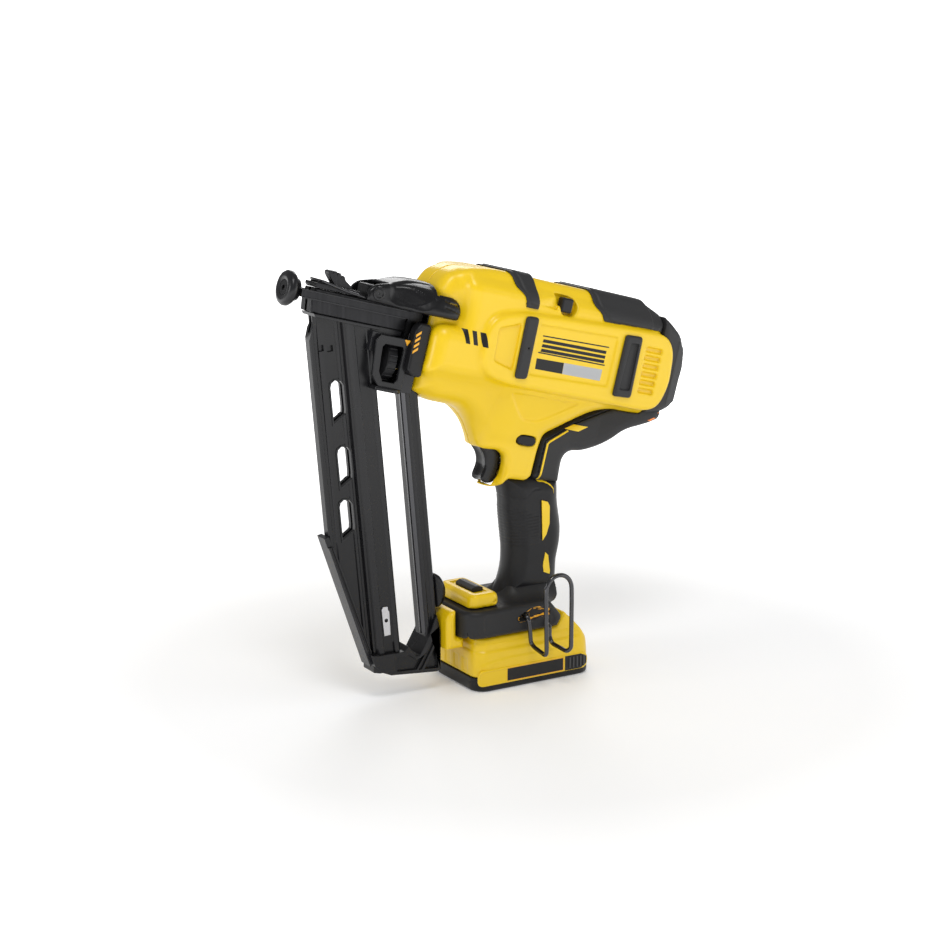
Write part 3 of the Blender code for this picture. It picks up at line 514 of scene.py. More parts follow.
YELLOW = moulded_plastic("yellow nylon", (0.84, 0.56, 0.002), 0.34, 0.05, 1500, 1.06, 0.15, 0.03)
BLACK = moulded_plastic("black nylon", (0.010, 0.010, 0.011), 0.38, 0.06, 1600, 2.6, 0.0, 0.15)
SATIN = moulded_plastic("satin black", (0.007, 0.007, 0.008), 0.27, 0.03, 1400, 3.4, 0.12, 0.15)
RUBBER = moulded_plastic("grey rubber", (0.030, 0.030, 0.031), 0.50, 0.14, 2200, 1.7, 0.0, 0.12)
BASE = moulded_plastic("base plastic", (0.022, 0.022, 0.023), 0.48, 0.12, 1800, 1.9, 0.0, 0.12)
PANEL_RUBBER = moulded_plastic("panel rubber", (0.055, 0.056, 0.058), 0.5, 0.2, 2400, 1.4, 0.0, 0.12)
PRINT_BLACK = moulded_plastic("black print", (0.012, 0.012, 0.012), 0.35, 0.02, 900, 1.2)
PRINT_GREY = moulded_plastic("grey print", (0.40, 0.41, 0.42), 0.35, 0.02, 900, 1.1)
AMBER = moulded_plastic("amber lens", (0.85, 0.22, 0.01), 0.2, 0.02, 900, 1.1, 0.4)
ORANGE = moulded_plastic("orange line", (0.84, 0.40, 0.02), 0.35, 0.02, 900, 1.1)
STEEL = metal("ground steel", (0.60, 0.60, 0.62), 0.26)
BLACK_STEEL = metal("black oxide steel", (0.030, 0.030, 0.032), 0.34, 500, 0.85)
ALUMINIUM = metal("cast aluminium", (0.52, 0.52, 0.54), 0.48, 300)
WIRE = metal("gloss black wire", (0.09, 0.09, 0.095), 0.15, 500, 0.9, 0.02)
COPPER = metal("copper coil", (0.70, 0.34, 0.15), 0.35, 900)
BOARD = moulded_plastic("circuit board", (0.02, 0.16, 0.06), 0.3, 0.05, 700, 1.2, 0.3)
CELLS = moulded_plastic("cell wrap", (0.05, 0.2, 0.36), 0.3, 0.03, 700, 1.2, 0.2)

SLOT_FINISH = {"yellow_nylon": YELLOW, "black_nylon": BLACK, "dark_rubber": RUBBER, "black_steel": BLACK_STEEL,
               "hook_wire": WIRE, "steel": STEEL, "aluminium": ALUMINIUM, "circuit_board": BOARD,
               "copper_coil": COPPER, "cell_wrap": CELLS}
SATIN_NODES = {"magazine_track", "magazine_bar", "magazine_foot", "nose_door", "jam_lever", "depth_guard",
               "depth_wheel", "magazine_latch"}
for entry in frame["record"]["subparts"]:
    node = frame["nodes"][entry["node"]]
    finish = SATIN if entry["node"] in SATIN_NODES else SLOT_FINISH[entry["material_slot"]]
    node.data.materials.clear()
    node.data.materials.append(finish)


# ---- the yellow clamshell, in the drive frame ----
BARREL = [(-168, -42, 5), (-168, 25, 3), (-162, 34, 4), (-152, 41, 6), (-120, 41.5, 6), (30, 41.5, 4), (48, 38, 3),
          (48, -42, 5)]
ROOF = [(-165, 22, 2), (-161, 37.5, 5), (-148, 46, 7), (-126, 50, 12), (25, 50, 3), (46.5, 42, 3), (48, 22, 3)]
POD = [(-127.5, 3, 8), (-120, 15, 10), (-97, 21, 10), (-53, 24, 6), (30, 28, 14), (50, 28, 10), (60, 16, 10),
       (62.5, -12, 8), (57, -32, 12), (44, -38, 10), (-18, -38, 4), (-95, -38.5, 10), (-114, -36, 10),
       (-124.5, -29, 8), (-127, -18, 6)]
BELLY = [(-167, -36, 2), (-168, -58, 4), (-150, -64.5, 5), (-120.5, -65, 7), (-108.5, -73, 7), (-99, -84, 6),
         (-93, -92, 3), (-38.5, -90, 3), (-36.5, -76.5, 2), (-11, -56.5, 3), (16, -38, 3), (16, -30, 0)]
NECK = [(-106, -60, 3), (-97, -84, 4), (-92, -95.2, 4), (-84, -94.8, 3), (-76, -93.6, 3), (-68, -97, 5), (-66, -106, 6), (-66.6, -117, 5),
        (-69.5, -122.5, 2), (-65.5, -120.5, 3), (-61.5, -116, 4), (-43, -115, 2), (-38.2, -111, 2), (-37, -60, 0)]
LIP = [(-77, -124.0, 0.8), (-71.5, -122.6, 2), (-68, -117.5, 4), (-64, -110, 1), (-58, -113, 1), (-64, -121.2, 4),
       (-70, -125.8, 3), (-77, -125.7, 0.8)]


def lower_field(s, n, y):
    """The belly and neck, which narrow towards the front, and the lip that closes the trigger slot."""
    narrow = 8 * np.clip((-70 - s) / 24, 0, 1) ** 2
    belly = carry(outline(soft(BELLY), s, n), y - np.minimum((n + 42) * 0.36, 0) + narrow * 0.8, -99, 36, 14)
    neck = union(carry(outline(soft(NECK), s, n), y + narrow, -99, 19.8, 5),
                 carry(outline(soft(LIP), s, n), y + 1.25 * np.clip(-65 - s, 0, 12), -99, 19, 4), 2)
    return belly, neck


def body_field(g, left):
    flat = {name: outline(soft(pts), g.x, g.z) for name, pts in
            (("barrel", BARREL), ("roof", ROOF), ("pod", POD))}
    shape = carry(flat["barrel"], g.y, -99, 38, 12)
    shape = union(shape, carry(flat["roof"], g.y, -99, 29, 7), 7)
    shape = union(shape, union(*lower_field(g.x, g.z, g.y), 6), 9)
    shape = union(shape, carry(flat["pod"], g.y, 25, 42.4, 3.4), 4)
    # the facet ahead of the front bar, the panel behind it and the vents
    facet = outline(soft([(-116.5, 5), (-97, 12), (-96, -26), (-115, -21.5)], 2), g.x, g.z)
    shape = cut(shape, carry(facet, g.y, 39.9, 60, 0.2), 1.0)
    panel = outline(soft([(-80, 14.5), (-1, 17.5), (-1, -24), (-80, -27)], 2.5), g.x, g.z)
    shape = cut(shape, carry(panel, g.y, 41.0, 60, 0.2), 0.6)
    for index in range(6):
        z = 13.2 - 6.9 * index
        left_end, right_end = 29.5 + 0.25 * index, 46.5
        groove = outline(soft([(left_end, z + 2.0), (right_end, z + 2.3), (right_end, z - 2.0), (left_end, z - 2.2)], 1.8),
                         g.x, g.z)
        shape = cut(shape, carry(groove, g.y, 39.9, 60, 0.2), 0.8)
    # sunk panel under the pod
    sunk = outline(soft([(-86, -44), (-19, -42.5), (-44, -60), (-52, -64.5), (-66, -65), (-74, -58)], 4), g.x, g.z)
    shape = shape + 1.5 * np.clip(0.5 - sunk / 1.6, 0, 1)
    # room for the jam lever, swept as it lifts
    swept = np.hypot(g.x + 217, g.z - 11) - 71.3
    zone = common(common(swept, 25.5 - g.y, 8), -1 - g.z, 3)
    shape = cut(shape, zone, 13)
    if left:
        well = outline(soft([(-66, 41.5, 2), (-47, 41, 5), (-43, 34, 4), (-47, 25.5, 3), (-58, 26, 2)], 3), g.x, g.z)
        shape = cut(shape, carry(well, g.y, 28.5, 60, 1.5), 1.5)
        lead = outline([(-86, 31), (-64, 40), (-62, 34), (-64, 29)], g.x, g.z)
        slope = 40.5 + (g.x + 88) * -0.26
        shape = cut(shape, np.maximum(lead, slope - g.y), 2)
    hollow = np.maximum(shape + 3.0, -117 - g.z)
    # openings: nosepiece, trigger and lock-off button
    shape = cut(shape, box(g, -190, -160, -9, 15.5, -46, 8, 1), 1)
    shape = cut(shape, box(g, -89.6, -58, -9, 10, -124, -85, 1), 0.5)
    hole = outline(soft([(-64, -81.5), (-61, -86), (-46, -86), (-43, -81.5), (-46, -77), (-61, -77)], 4), g.x, g.z)
    shape = cut(shape, carry(hole, g.y, 10, 60, 0.2), 1.2)
    shape = np.maximum(shape, -hollow)
    # room for the magazine bar behind the nose
    v = 0.9397 * g.x + 0.342 * (g.z + 280)
    w = -0.342 * g.x + 0.9397 * (g.z + 280)
    bar = np.maximum(np.maximum(-87 - v, v + 72.5), np.maximum(240 - w, g.y - 11))
    shape = np.maximum(shape, -bar)
    return np.maximum(shape, 0.15 - g.y)


for side, left in (("left", True), ("right", False)):
    grid = Grid((-170, -1.2, -130), (66, 45, 53), FINE)
    moulded(f"{side}_shell", grid, body_field(grid, left), DRIVE, YELLOW, "tool",
            (f"{side}_housing",), mirror=left)


# ---- rubber straps, rear cap and overmould, in the drive frame ----
def plain_body(g):
    """The barrel, roof and pod without their details, for what sits on them; y counts from the middle."""
    y = np.abs(g.y)
    shape = carry(outline(soft(BARREL), g.x, g.z), y, -99, 38, 12)
    shape = union(shape, carry(outline(soft(ROOF), g.x, g.z), y, -99, 29, 7), 7)
    return shape, carry(outline(soft(POD), g.x, g.z), y, 25, 42.4, 4.2)


def strap(name, low, high, region, thick, lip, replaces):
    g = Grid(low, high, FINE * 0.8)
    body, pod = plain_body(g)
    area = outline(soft(region, 2.5), g.x, g.z)
    shape = common(body - thick, area, 1.6)
    raised = common(body - thick - 1.1, outline(soft(lip, 2.5), g.x, g.z), 1.2)
    shape = union(shape, raised, 1.0)
    shape = np.maximum(shape, -(union(body, pod, 5) - 0.15))
    shape = np.maximum(shape, 25.5 - g.z)
    moulded(name, g, shape, DRIVE, RUBBER, "tool", (replaces,))


strap("front_strap", (-122, -43, 22), (-80, 43, 57),
      [(-120, 60), (-108, 47.8), (-104.5, 40), (-97, 34.5), (-95, 30), (-94.5, 24), (-82.5, 24), (-81.8, 30), (-89, 60)],
      1.5, [(-113, 60), (-101, 47.8), (-98, 40), (-92.5, 34.5), (-91.5, 29), (-84, 28), (-83, 31), (-90, 60)],
      "front_roof_bumper")
strap("rear_strap", (-44, -43, 22), (52, 43, 58),
      [(-41, 60), (-29, 48), (-26.5, 39), (-19, 33), (-17, 27), (48.2, 27), (48.2, 44), (31, 60)],
      1.5, [(-34, 60), (-23, 48), (-20.5, 40), (-14, 34.5), (-12.5, 30), (34, 30), (32, 44), (22, 60)],
      "rear_roof_bumper")

grid = Grid((44, -41, -46), (81, 41, 50), FINE)
y = np.abs(grid.y)
body, pod = plain_body(grid)
CAP = [(46, -40.5, 2), (60, -39, 6), (70, -35, 5), (77.5, -29, 4), (78.4, 6, 6), (75.5, 22, 6), (70, 31, 4),
       (58, 38.5, 4), (47.5, 43.5, 3), (44.5, 46, 2)]
taper = (grid.x - 48) * 0.10
shape = carry(outline(soft(CAP), grid.x, grid.z), y + taper, -99, 38.5, 9)
shape = np.maximum(shape, 48.4 - grid.x)
shape = np.maximum(shape, -(pod - 0.35))
moulded("rear_end_cap", grid, shape, DRIVE, RUBBER, "tool", ("rear_cap",))
panel = outline(soft([(66, -30), (74.5, -26.5), (75.3, 6), (72.5, 20), (66, 27)], 3), grid.x, grid.z)
shape = np.maximum(carry(panel, y + taper, 30, 39.1, 0.8), -(pod - 0.35))
moulded("rear_cap_panels", grid, shape, DRIVE, PANEL_RUBBER)


def swoosh_field(g):
    s = 0.96593 * g.x - 0.25882 * g.z
    n = 0.25882 * g.x + 0.96593 * g.z - 280
    lines = [(-37, -114), (-37, -76, 0), (-11, -56, 3), (14, -40, 2), (30, -34, 2), (60, -30, 2), (80, -29.5, 3),
             (79.5, -33, 2), (70, -42.5, 6), (56, -50, 8), (39, -57.5, 8), (30, -68, 8), (18, -77, 8), (6, -82.5, 6),
             (-5, -84, 6), (-10.5, -91, 6), (-9, -112, 2)]
    half = np.interp(s, [-40, -10, 14, 40, 60, 85], [19.6, 20.8, 24, 31, 34, 33]).astype(np.float32)
    shape = carry(outline(soft(lines), s, n), np.abs(g.y) - half + 20, -99, 20, 9)
    grown, pod = plain_body_at(s, n, np.abs(g.y))
    shape = np.maximum(shape, -(union(grown, pod, 5) - 0.3))
    return s, n, shape


def plain_body_at(s, n, y):
    shape = carry(outline(soft(BARREL), s, n), y, -99, 38, 12)
    return union(shape, union(*lower_field(s, n, y), 6), 9), carry(outline(soft(POD), s, n), y, 25, 42.4, 4.2)


grid = Grid((5, -38, 165), (126, 38, 232), FINE)
s, n, whole = swoosh_field(grid)
band = outline([(-60, -125), (-32.2, -125), (-32.2, -79.2), (-8.6, -60.8), (22, -42.5), (22, -20), (-60, -20)], s, n)
moulded("overmould", grid, np.maximum(whole, 0.25 - band), WORLD, RUBBER, "tool", ("lower_overmould",))
moulded("neck_band", grid, np.maximum(whole, band + 0.25), WORLD, BLACK)

# ---- grip, in the tool frame ----
GRIP = [(-22, 176, 2), (-17, 167, 6), (-14.2, 157, 8), (-13.8, 143, 10), (-10.2, 115, 14), (-11, 97, 10), (-14.5, 83, 8),
        (-20, 74, 5), (-26, 70.4, 1), (40, 70.4, 1), (40.6, 78, 6), (41, 86, 6), (42, 98, 10), (45.3, 112, 8),
        (45.3, 127, 8), (41.8, 148, 8), (41.5, 160, 5), (40, 171, 3), (22, 173, 2), (4, 176, 1)]
grid = Grid((-27, -21, 69), (52, 21, 178), FINE * 0.72)
y = np.abs(grid.y)
half = np.interp(grid.z, [70, 74, 82, 97, 125, 150, 165, 176], [17.2, 17.2, 17, 16.4, 18, 17.6, 18.4, 19.4])
shape = carry(outline(soft(GRIP), 15 + (grid.x - 15) * 1.085, grid.z), y - half.astype(np.float32) + 18, -99, 18, 16)
ribs = np.clip((grid.z - 113) / 3, 0, 1) * np.clip((151 - 0.35 * (grid.x + 14) - grid.z) / 3, 0, 1)
ribs = ribs * np.clip((16.5 - grid.x) / 1.5, 0, 1)
wave = np.cos(2 * math.pi * grid.z / 2.75 - 0.06 * grid.x)
shape = shape - 0.38 * ribs * (0.5 + 0.5 * wave)
line = np.abs(grid.z - (156 + 6 * np.clip((grid.x - 2) / 8, 0, 1))) - 0.5
shape = shape + 0.5 * np.clip(0.5 - line, 0, 1) * np.clip((17 - grid.x) / 2, 0, 1)
s = 0.96593 * grid.x - 0.25882 * grid.z
n = 0.25882 * grid.x + 0.96593 * grid.z - 280
shape = np.maximum(shape, -(lower_field(s, n, y)[1] - 0.3))
moulded("handle_grip", grid, shape, WORLD, BLACK, "tool", ("grip_overmould",))

# ---- jam lever ----
LEVER_SIDE = [(-226.5, 3.5, 3), (-227, 11, 4), (-221, 17.5, 5), (-206, 21, 8), (-188, 28.5, 6), (-172, 29.3, 8), (-160, 26.5, 6),
              (-150, 18, 6), (-146.8, 8, 3), (-149.5, 2.8, 2), (-200, 2.8, 2)]
grid = Grid((-229, -35.5, 1), (-144, 35.5, 32), FINE * 0.72)
y = np.abs(grid.y)
side = outline(soft(LEVER_SIDE), grid.x, grid.z)
plan = outline(soft([(-227, -17, 3), (-205, -17, 8), (-184, -30, 12), (-170, -33.4, 14), (-152, -33.4, 8), (-146, -30, 4),
                     (-146, 30, 4), (-152, 33.4, 8), (-170, 33.4, 14), (-184, 30, 12), (-205, 17, 8), (-227, 17, 3)]),
               grid.x, grid.y)
crown = grid.z - (30 - 0.010 * grid.y ** 2 - 6.5 * np.clip((y - 21) / 12, 0, 1) ** 2)
shape = common(common(side, plan, 4), crown, 6)
dent = outline(soft([(-207, 25, 4), (-205, 8, 6), (-189, 4, 8), (-178, 9, 12), (-169, 18, 8), (-172, 26, 4), (-190, 26, 4)]),
               grid.x, grid.z)
sunk = 2.0 * np.clip(0.5 - dent / 5, 0, 1) * np.clip((y - 12) / 4, 0, 1)
inner = common(side + 2.6, outline(soft([(-232, -13.3), (-206, -13.6), (-186, -27), (-173, -30), (-140, -30), (-140, 30),
                                         (-173, 30), (-186, 27), (-206, 13.6), (-232, 13.3)], 3), grid.x, grid.y), 2)
shape = shape + sunk
shape = np.maximum(shape, -(np.maximum(inner, crown + 2.8) + sunk))
shape = np.maximum(shape, -box(grid, -170.5, -130, -27.2, 27.2, -2, 60, 1))
shape = np.maximum(shape, -box(grid, -240, -208, -13.2, 13.2, -5, 40, 0.5))
shape = np.maximum(shape, 2.7 - grid.z)
for index in range(2):
    slot_side = outline([(-164, 17.5 - 5 * index), (-150.5, 15.0 - 5 * index), (-150.5, 13.6 - 5 * index),
                         (-164, 16.1 - 5 * index)], grid.x, grid.z)
    shape = shape + 0.9 * np.clip(0.5 - slot_side, 0, 1) * np.clip((y - 24) / 2, 0, 1)
hole = np.hypot(grid.x + 217, grid.z - 11) - 2.9
shape = np.maximum(shape, -hole)
moulded("jam_lever_shell", grid, shape, DRIVE, SATIN, "jam_lever", ("jam_lever",))

# ---- the belly's screw, its head level with the shell ----
head = carved(rod((-150, 24.8, -50), (-150, 27.2, -50), 3.2), rod((-150, 26.2, -50), (-150, 29, -50), 1.4))
solid("belly_screw", merged(head, rod((-150, 8, -50), (-150, 25, -50), 1.6)), DRIVE, STEEL, "tool",
      ("housing_screw_1",), 0.2)

# ---- trigger ----
TRIGGER = [(-89.5, -89, 1), (-88, -95.2, 3), (-81.5, -100.5, 5), (-78.2, -109, 7), (-80.2, -118, 4), (-79.4, -122, 3),
           (-74.5, -123.6, 2.5), (-68, -122.2, 2.5), (-65.8, -116.5, 5), (-65.2, -108, 6), (-67, -98, 4), (-69, -91, 2),
           (-69, -86, 1), (-86, -86, 1)]
grid = Grid((-91, -10.5, -126), (-63, 10.5, -84.5), FINE * 0.6)
y = np.abs(grid.y)
dish = 1.3 * np.clip(1 - (y / 6.5) ** 2, 0, 1) * np.clip((-71 - grid.x) / 6, 0, 1)
shape = carry(outline(soft(TRIGGER), grid.x, grid.z) + dish, y, -99, 9, 2.2)
moulded("trigger_blade", grid, shape, DRIVE, SATIN, "trigger", ("trigger",))

# ---- base, mode housing and battery, in the tool frame ----
def round_box(g, x0, x1, half, corner):
    """Distance in plan to a rounded rectangle."""
    dx = np.maximum(x0 - g.x, g.x - x1) + corner
    dy = np.abs(g.y) - half + corner
    return np.minimum(np.maximum(dx, dy), 0) + np.hypot(np.maximum(dx, 0), np.maximum(dy, 0)) - corner


grid = Grid((-69, -39.5, 44.5), (33, 39.5, 84), FINE * 0.9)
y = np.abs(grid.y)
side = outline(soft([(-67, 45.9, 1), (-67, 66, 3), (-62, 70, 4), (15, 70, 4), (28.2, 54, 3), (22.5, 45.9, 1)]), grid.x, grid.z)
shape = common(side, round_box(grid, -67, 40, 37.5, 18), 5.5)
column = carry(outline(soft([(-19.5, 60, 0), (-14, 86, 0), (40, 86, 0), (45, 60, 0)], 0), grid.x, grid.z), y, -99, 19.2, 12)
column = np.maximum(column, grid.z - 83.5)
shape = union(shape, column + np.clip((grid.z - 68) * 0.32, 0, 6), 13)
notch = round_box(grid, -61, -25, 30.5, 9)
shape = np.maximum(shape, -np.maximum(notch, 69.4 - grid.z))
panel = outline(soft([(-50, 50, 4), (-50, 66, 4), (11, 66, 4), (20, 54, 3), (17, 50, 2)]), grid.x, grid.z)
shape = shape + 0.6 * np.clip(0.5 - panel, 0, 1) * np.clip(y - 34, 0, 1)
key = outline(soft([(-17, 60), (-7, 64.5), (-2, 66.5), (3, 64.5), (14, 63), (14, 57.5), (5, 58.5), (0, 55), (-6, 57.5), (-17, 56.5)], 2),
              grid.x, grid.z)
shape = cut(shape, carry(key, y, 34.2, 60, 0.3), 0.6)
bay = box(grid, -62, 40, -31, 31, 30, 54, 1)
shape = np.maximum(shape, -bay)
for x, z in ((-10, 61), (11, 52)):
    shape = np.maximum(shape, -np.maximum(np.hypot(grid.x - x, grid.z - z) - 2.4, 30 + grid.y))
shape = np.maximum(shape, 45.9 - grid.z)
moulded("base_shell", grid, shape, WORLD, BASE, "tool", ("base_cover",))

grid = Grid((-60, -30, 69), (-26, 30, 84), FINE * 0.6)
y = np.abs(grid.y)
side = outline(soft([(-58, 69.9, 0), (-58, 78, 3), (-54, 82, 4), (-32, 82, 4), (-28, 78, 3), (-28, 69.9, 0)]), grid.x, grid.z)
shape = common(side, round_box(grid, -58, -28, 28, 8), 4)
shape = np.maximum(shape, -box(grid, -49.5, -37.5, -20.5, 20.5, 80.5, 90, 0.3))
mark = outline([(-35.5, 74), (-33.8, 75.6), (-32, 74), (-33.8, 72.4)], grid.x, grid.z)
shape = shape + 1.2 * np.clip(0.5 - mark, 0, 1) * np.clip(y - 25, 0, 1)
shape = np.maximum(shape, 69.6 - grid.z)
moulded("mode_cover", grid, shape, WORLD, YELLOW, "tool", ("mode_housing",))

grid = Grid((-60, -39.5, 10), (60.5, 39.5, 60), FINE)
y = np.abs(grid.y)
side = outline(soft([(-57.5, 12, 0), (-57.5, 44, 2), (-55.5, 45.6, 2), (22.3, 45.6, 0), (28.7, 54.2, 0), (31.5, 57, 2), (43, 46, 5),
                     (54.8, 31, 5), (58, 15, 3), (57.5, 12, 0)]), grid.x, grid.z)
tier = 1.8 * np.clip((grid.z - 33.5) / 1.6, 0, 1) + 0.9 * np.clip((grid.z - 40.2) / 1.2, 0, 1)
tier = tier * np.clip((46 - grid.x) / 10, 0, 1)
plan = round_box(grid, -57.5, 57.5, 37.5, 13)
shape = common(side, plan + tier, 3.0)
swell = outline(soft([(-56, 8, 2), (-54, 24, 8), (-30, 27, 6), (40, 27, 8), (54, 20, 6), (55, 8, 2)]), grid.x, grid.z)
shape = shape + 0.8 * np.clip(0.5 + swell / 1.5, 0, 1) * np.clip((y - 30) / 3, 0, 1)
shape = np.maximum(shape, -(common(side + 3.0, plan + tier + 3.4, 2)))
for y0, y1 in ((-30, -24), (24, 30)):
    shape = union(shape, box(grid, -50, 22, y0, y1, 43.2, 51, 0.6), 0.4)
shape = np.maximum(shape, -box(grid, 42.7, 60, -13.3, 13.3, 32.7, 41.3, 0.3))
for index in range(3):
    shape = np.maximum(shape, -box(grid, -59, -55.8, -20 + 14 * index, -12 + 14 * index, 14, 26, 0.5))
shape = np.maximum(shape, 12.1 - grid.z)
moulded("battery_cover", grid, shape, WORLD, YELLOW, "battery", ("battery_upper_shell",))

grid = Grid((-60, -39.5, -1.5), (60.5, 39.5, 14), FINE)
shape = common(carry(round_box(grid, -57.5, 57.5, 37.5, 13), grid.z, 0, 30, 3.0), grid.z - 11.7)
shape = np.maximum(shape, -(np.maximum(round_box(grid, -57.5, 57.5, 37.5, 13) + 3.2, 2.5 - grid.z)))
lip = np.abs(grid.z - 9.2) - 0.5
shape = shape + 0.45 * np.clip(0.5 - lip, 0, 1) * np.clip(0.5 - (np.abs(round_box(grid, -57.5, 57.5, 37.5, 13)) - 2), 0, 1)
moulded("battery_tray", grid, shape, WORLD, BLACK, "battery", ("battery_lower_shell",))

# ---- magazine, in the magazine frame ----
# half thickness of the track against v: front bead, plate, rail and channel
SECTION = [(-162, 3.4), (-161.2, 4.7), (-158.6, 4.7), (-157.8, 3.4), (-155.6, 3.4), (-154.6, 4.2), (-140.4, 4.2),
           (-139.6, 5.4), (-137.6, 5.4), (-136.8, 4.6), (-134.6, 4.6), (-133.4, 7.2), (-131.6, 7.2), (-130.2, 9.6),
           (-128.6, 10.6), (-125.6, 10.6), (-124.9, 9.9), (-115.6, 9.9), (-114.9, 10.6), (-111.6, 10.6), (-110, 9.4)]


def pillar(section, w0, w1):
    """A v-y section carried up w."""
    shape = bmesh.new()
    face = shape.faces.new([shape.verts.new((v, y, w0)) for v, y in section])
    grown = bmesh.ops.extrude_face_region(shape, geom=[face])["geom"]
    bmesh.ops.translate(shape, verts=[v for v in grown if isinstance(v, bmesh.types.BMVert)], vec=(0, 0, w1 - w0))
    return shape


section = [(v, -half) for v, half in SECTION] + [(v, half) for v, half in reversed(SECTION)]
WINDOWS = [(-148, 249, 283), (-147.5, 196, 229), (-150, 153, 185.5)]


def window(x, low, high, grow=0.0):
    g = grow
    return [(x - g, low - 1.6 * g), (x + 11 + g, low + 6 - g), (x + 11.5 + g, low + 10), (x + 11.5 + g, high - 5 + g),
            (x + 9 + g, high - 1 + g), (x + 4, high + g), (x + 1 - g, high - 2 + g), (x - g, high - 5 + g)]


rims = [prism(window(x, low, high, 1.3), -4.9, 4.9) for x, low, high in WINDOWS]
tools = [prism([(-170, 30), (-170, 157), (-162, 157), (-134.5, 52), (-120, 30)], -20, 20),
         prism([(-170, 318), (-162, 318), (-157.5, 331), (-157.5, 337.8), (-109, 320.2), (-109, 350), (-170, 350)], -20, 20),
         prism([(-131, 46), (-113, 46), (-109, 53), (-108, 36), (-131, 36)], -20, 20),
         prism([(-160, 158), (-160, 345), (-111.5, 345), (-111.5, 40), (-131, 40)], -1.6, 1.6),
         block(-122.5, -117.5, 0, 12, 74, 302)]
tools += [prism(window(x, low, high), -12, 12) for x, low, high in WINDOWS]
tools += [block(-155.5, -150.5, -8, -2.3, 308, 313), block(-147.5, -142.5, -8, -2.3, 306.5, 311.5),
          block(-124.2, -115.4, -12, -8.6, 48, 59)]
solid("track", carved(pillar(section, 44, 340), *tools, joined=rims), MAGAZINE, SATIN, "tool",
      ("magazine_track",), 0.35, 30, 2)
bar_section = [(-85, -8.2), (-83.8, -9.4), (-81.6, -9.4), (-80.9, -8.6), (-77.6, -8.6), (-76.9, -9.4), (-74.2, -9.4),
               (-73, -8.2), (-73, 8.2), (-74.2, 9.4), (-83.8, 9.4), (-85, 8.2)]
solid("rear_bar", merged(pillar(bar_section, 42, 276)), MAGAZINE, SATIN, "tool",
      ("magazine_bar",), 0.3)
solid("bar_rod", rod((-84.9, -5.2, 58.5), (-84.9, -5.2, 272), 3.2), MAGAZINE, WIRE, bevel=0)
solid("worn_plate", carved(prism([(-124.0, 66), (-118.2, 66), (-117.6, 86), (-118.6, 87.4), (-118.8, 90.4), (-122.8, 91), (-124.4, 89)], -10.9, -9.95),
                           rod((-121, -13, 79), (-121, -8, 79), 1.6)),
      MAGAZINE, STEEL, "tool", ("wear_plate",), 0.2)
foot_side = [(-142.2, 41), (-139, 31), (-131, 24), (-124, 21), (-80.5, 17), (-77.4, 18.5), (-77.4, 51), (-81, 66),
             (-84, 60), (-88, 50), (-97.5, 34), (-100.5, 34), (-108, 43.5), (-112, 39.5), (-134, 39.5)]
pocket = [(-118.5, 35.5), (-118.5, 23.6), (-100.5, 22.4), (-92.5, 34), (-98, 30.8), (-101, 30.8), (-107, 35.5)]
rear_pocket = [(-92.6, 21.4), (-80, 20.4), (-80, 43.5)]
groove = [(-98.4, 21.6), (-96.0, 21.5), (-79.4, 49.8), (-79.4, 53.8)]
foot = carved(prism(foot_side, -12.8, 12.8), prism(pocket, -14, -10.2), prism(rear_pocket, -14, -9.5),
              prism(groove, -14, -11.2), prism(pocket, 10.2, 14), prism(rear_pocket, 9.5, 14), prism(groove, 11.2, 14))
post = pillar([(x, y) for x, y in ((-138.5, -9), (-135, -13), (-121.5, -13), (-119, -11), (-119, 11), (-121.5, 13), (-135, 13),
                                   (-138.5, 9))], 24.5, 39.8)
solid("foot", merged(foot, post), WORLD, SATIN, "tool", ("magazine_foot",), 0.9, 30, 4)
strut = merged(prism([(-166.6, 158), (-162.4, 158.6), (-134.9, 53.5), (-134.6, 45), (-137.8, 42)], -7.8, 7.8))
solid("strut", carved(strut, prism([(-163.6, 150), (-162.2, 152), (-136.4, 54), (-138, 54)], -9, -6.8),
                      block(-170, -158, -9, -5.5, 150, 160)),
      MAGAZINE, SATIN, "tool", (), 0.6, 30, 3)
grid = Grid((-74, -9.5, 74), (-58.5, 9.5, 108), FINE * 0.6)
side = outline(soft([(-71.6, 76.5, 1), (-67, 76, 4), (-61.6, 82, 5), (-60.2, 92, 6), (-64, 102, 6), (-70, 106.2, 3), (-71.8, 106.2, 1)]),
               grid.x, grid.z)
shape = carry(side, np.abs(grid.y), -99, 8.4, 5)
moulded("dome_latch", grid, shape, MAGAZINE, SATIN, "magazine_latch", ("magazine_latch",))

# ---- nose: guard, wheel, trip, door and pad, in the drive frame ----
frame_out = [(-212, -24), (-208, -19.5), (-181, -19.5), (-180.4, -22), (-180.4, -60), (-184, -62), (-200, -62), (-209, -52)]
frame_in = [(-205, -29), (-203, -26.5), (-187, -26.5), (-186, -28), (-186, -53), (-188, -55.5), (-199, -55.5), (-203.5, -48)]
plates = [prism(frame_out, 17.4, 20.4), carved(prism(frame_out, -20.4, -17.4), prism(frame_in, -22, -16))]
solid("guard_frame", merged(*plates, block(-208, -198, -17.6, 17.6, -23, -20.5)), DRIVE, SATIN, "tool",
      ("depth_guard",), 0.7, 30, 3)
lip_plan = [(-204, -21), (-204, 21), (-196, 24), (-186, 24), (-181, 21), (-181, -21), (-186, -24), (-196, -24)]
lip = bmesh.new()
face = lip.faces.new([lip.verts.new((x, y, -63.4)) for x, y in lip_plan])
grown = bmesh.ops.extrude_face_region(lip, geom=[face])["geom"]
bmesh.ops.translate(lip, verts=[v for v in grown if isinstance(v, bmesh.types.BMVert)], vec=(0, 0, 3.6))
solid("guard_plate", lip, DRIVE, SATIN, "tool", (), 1.3, 30, 4)
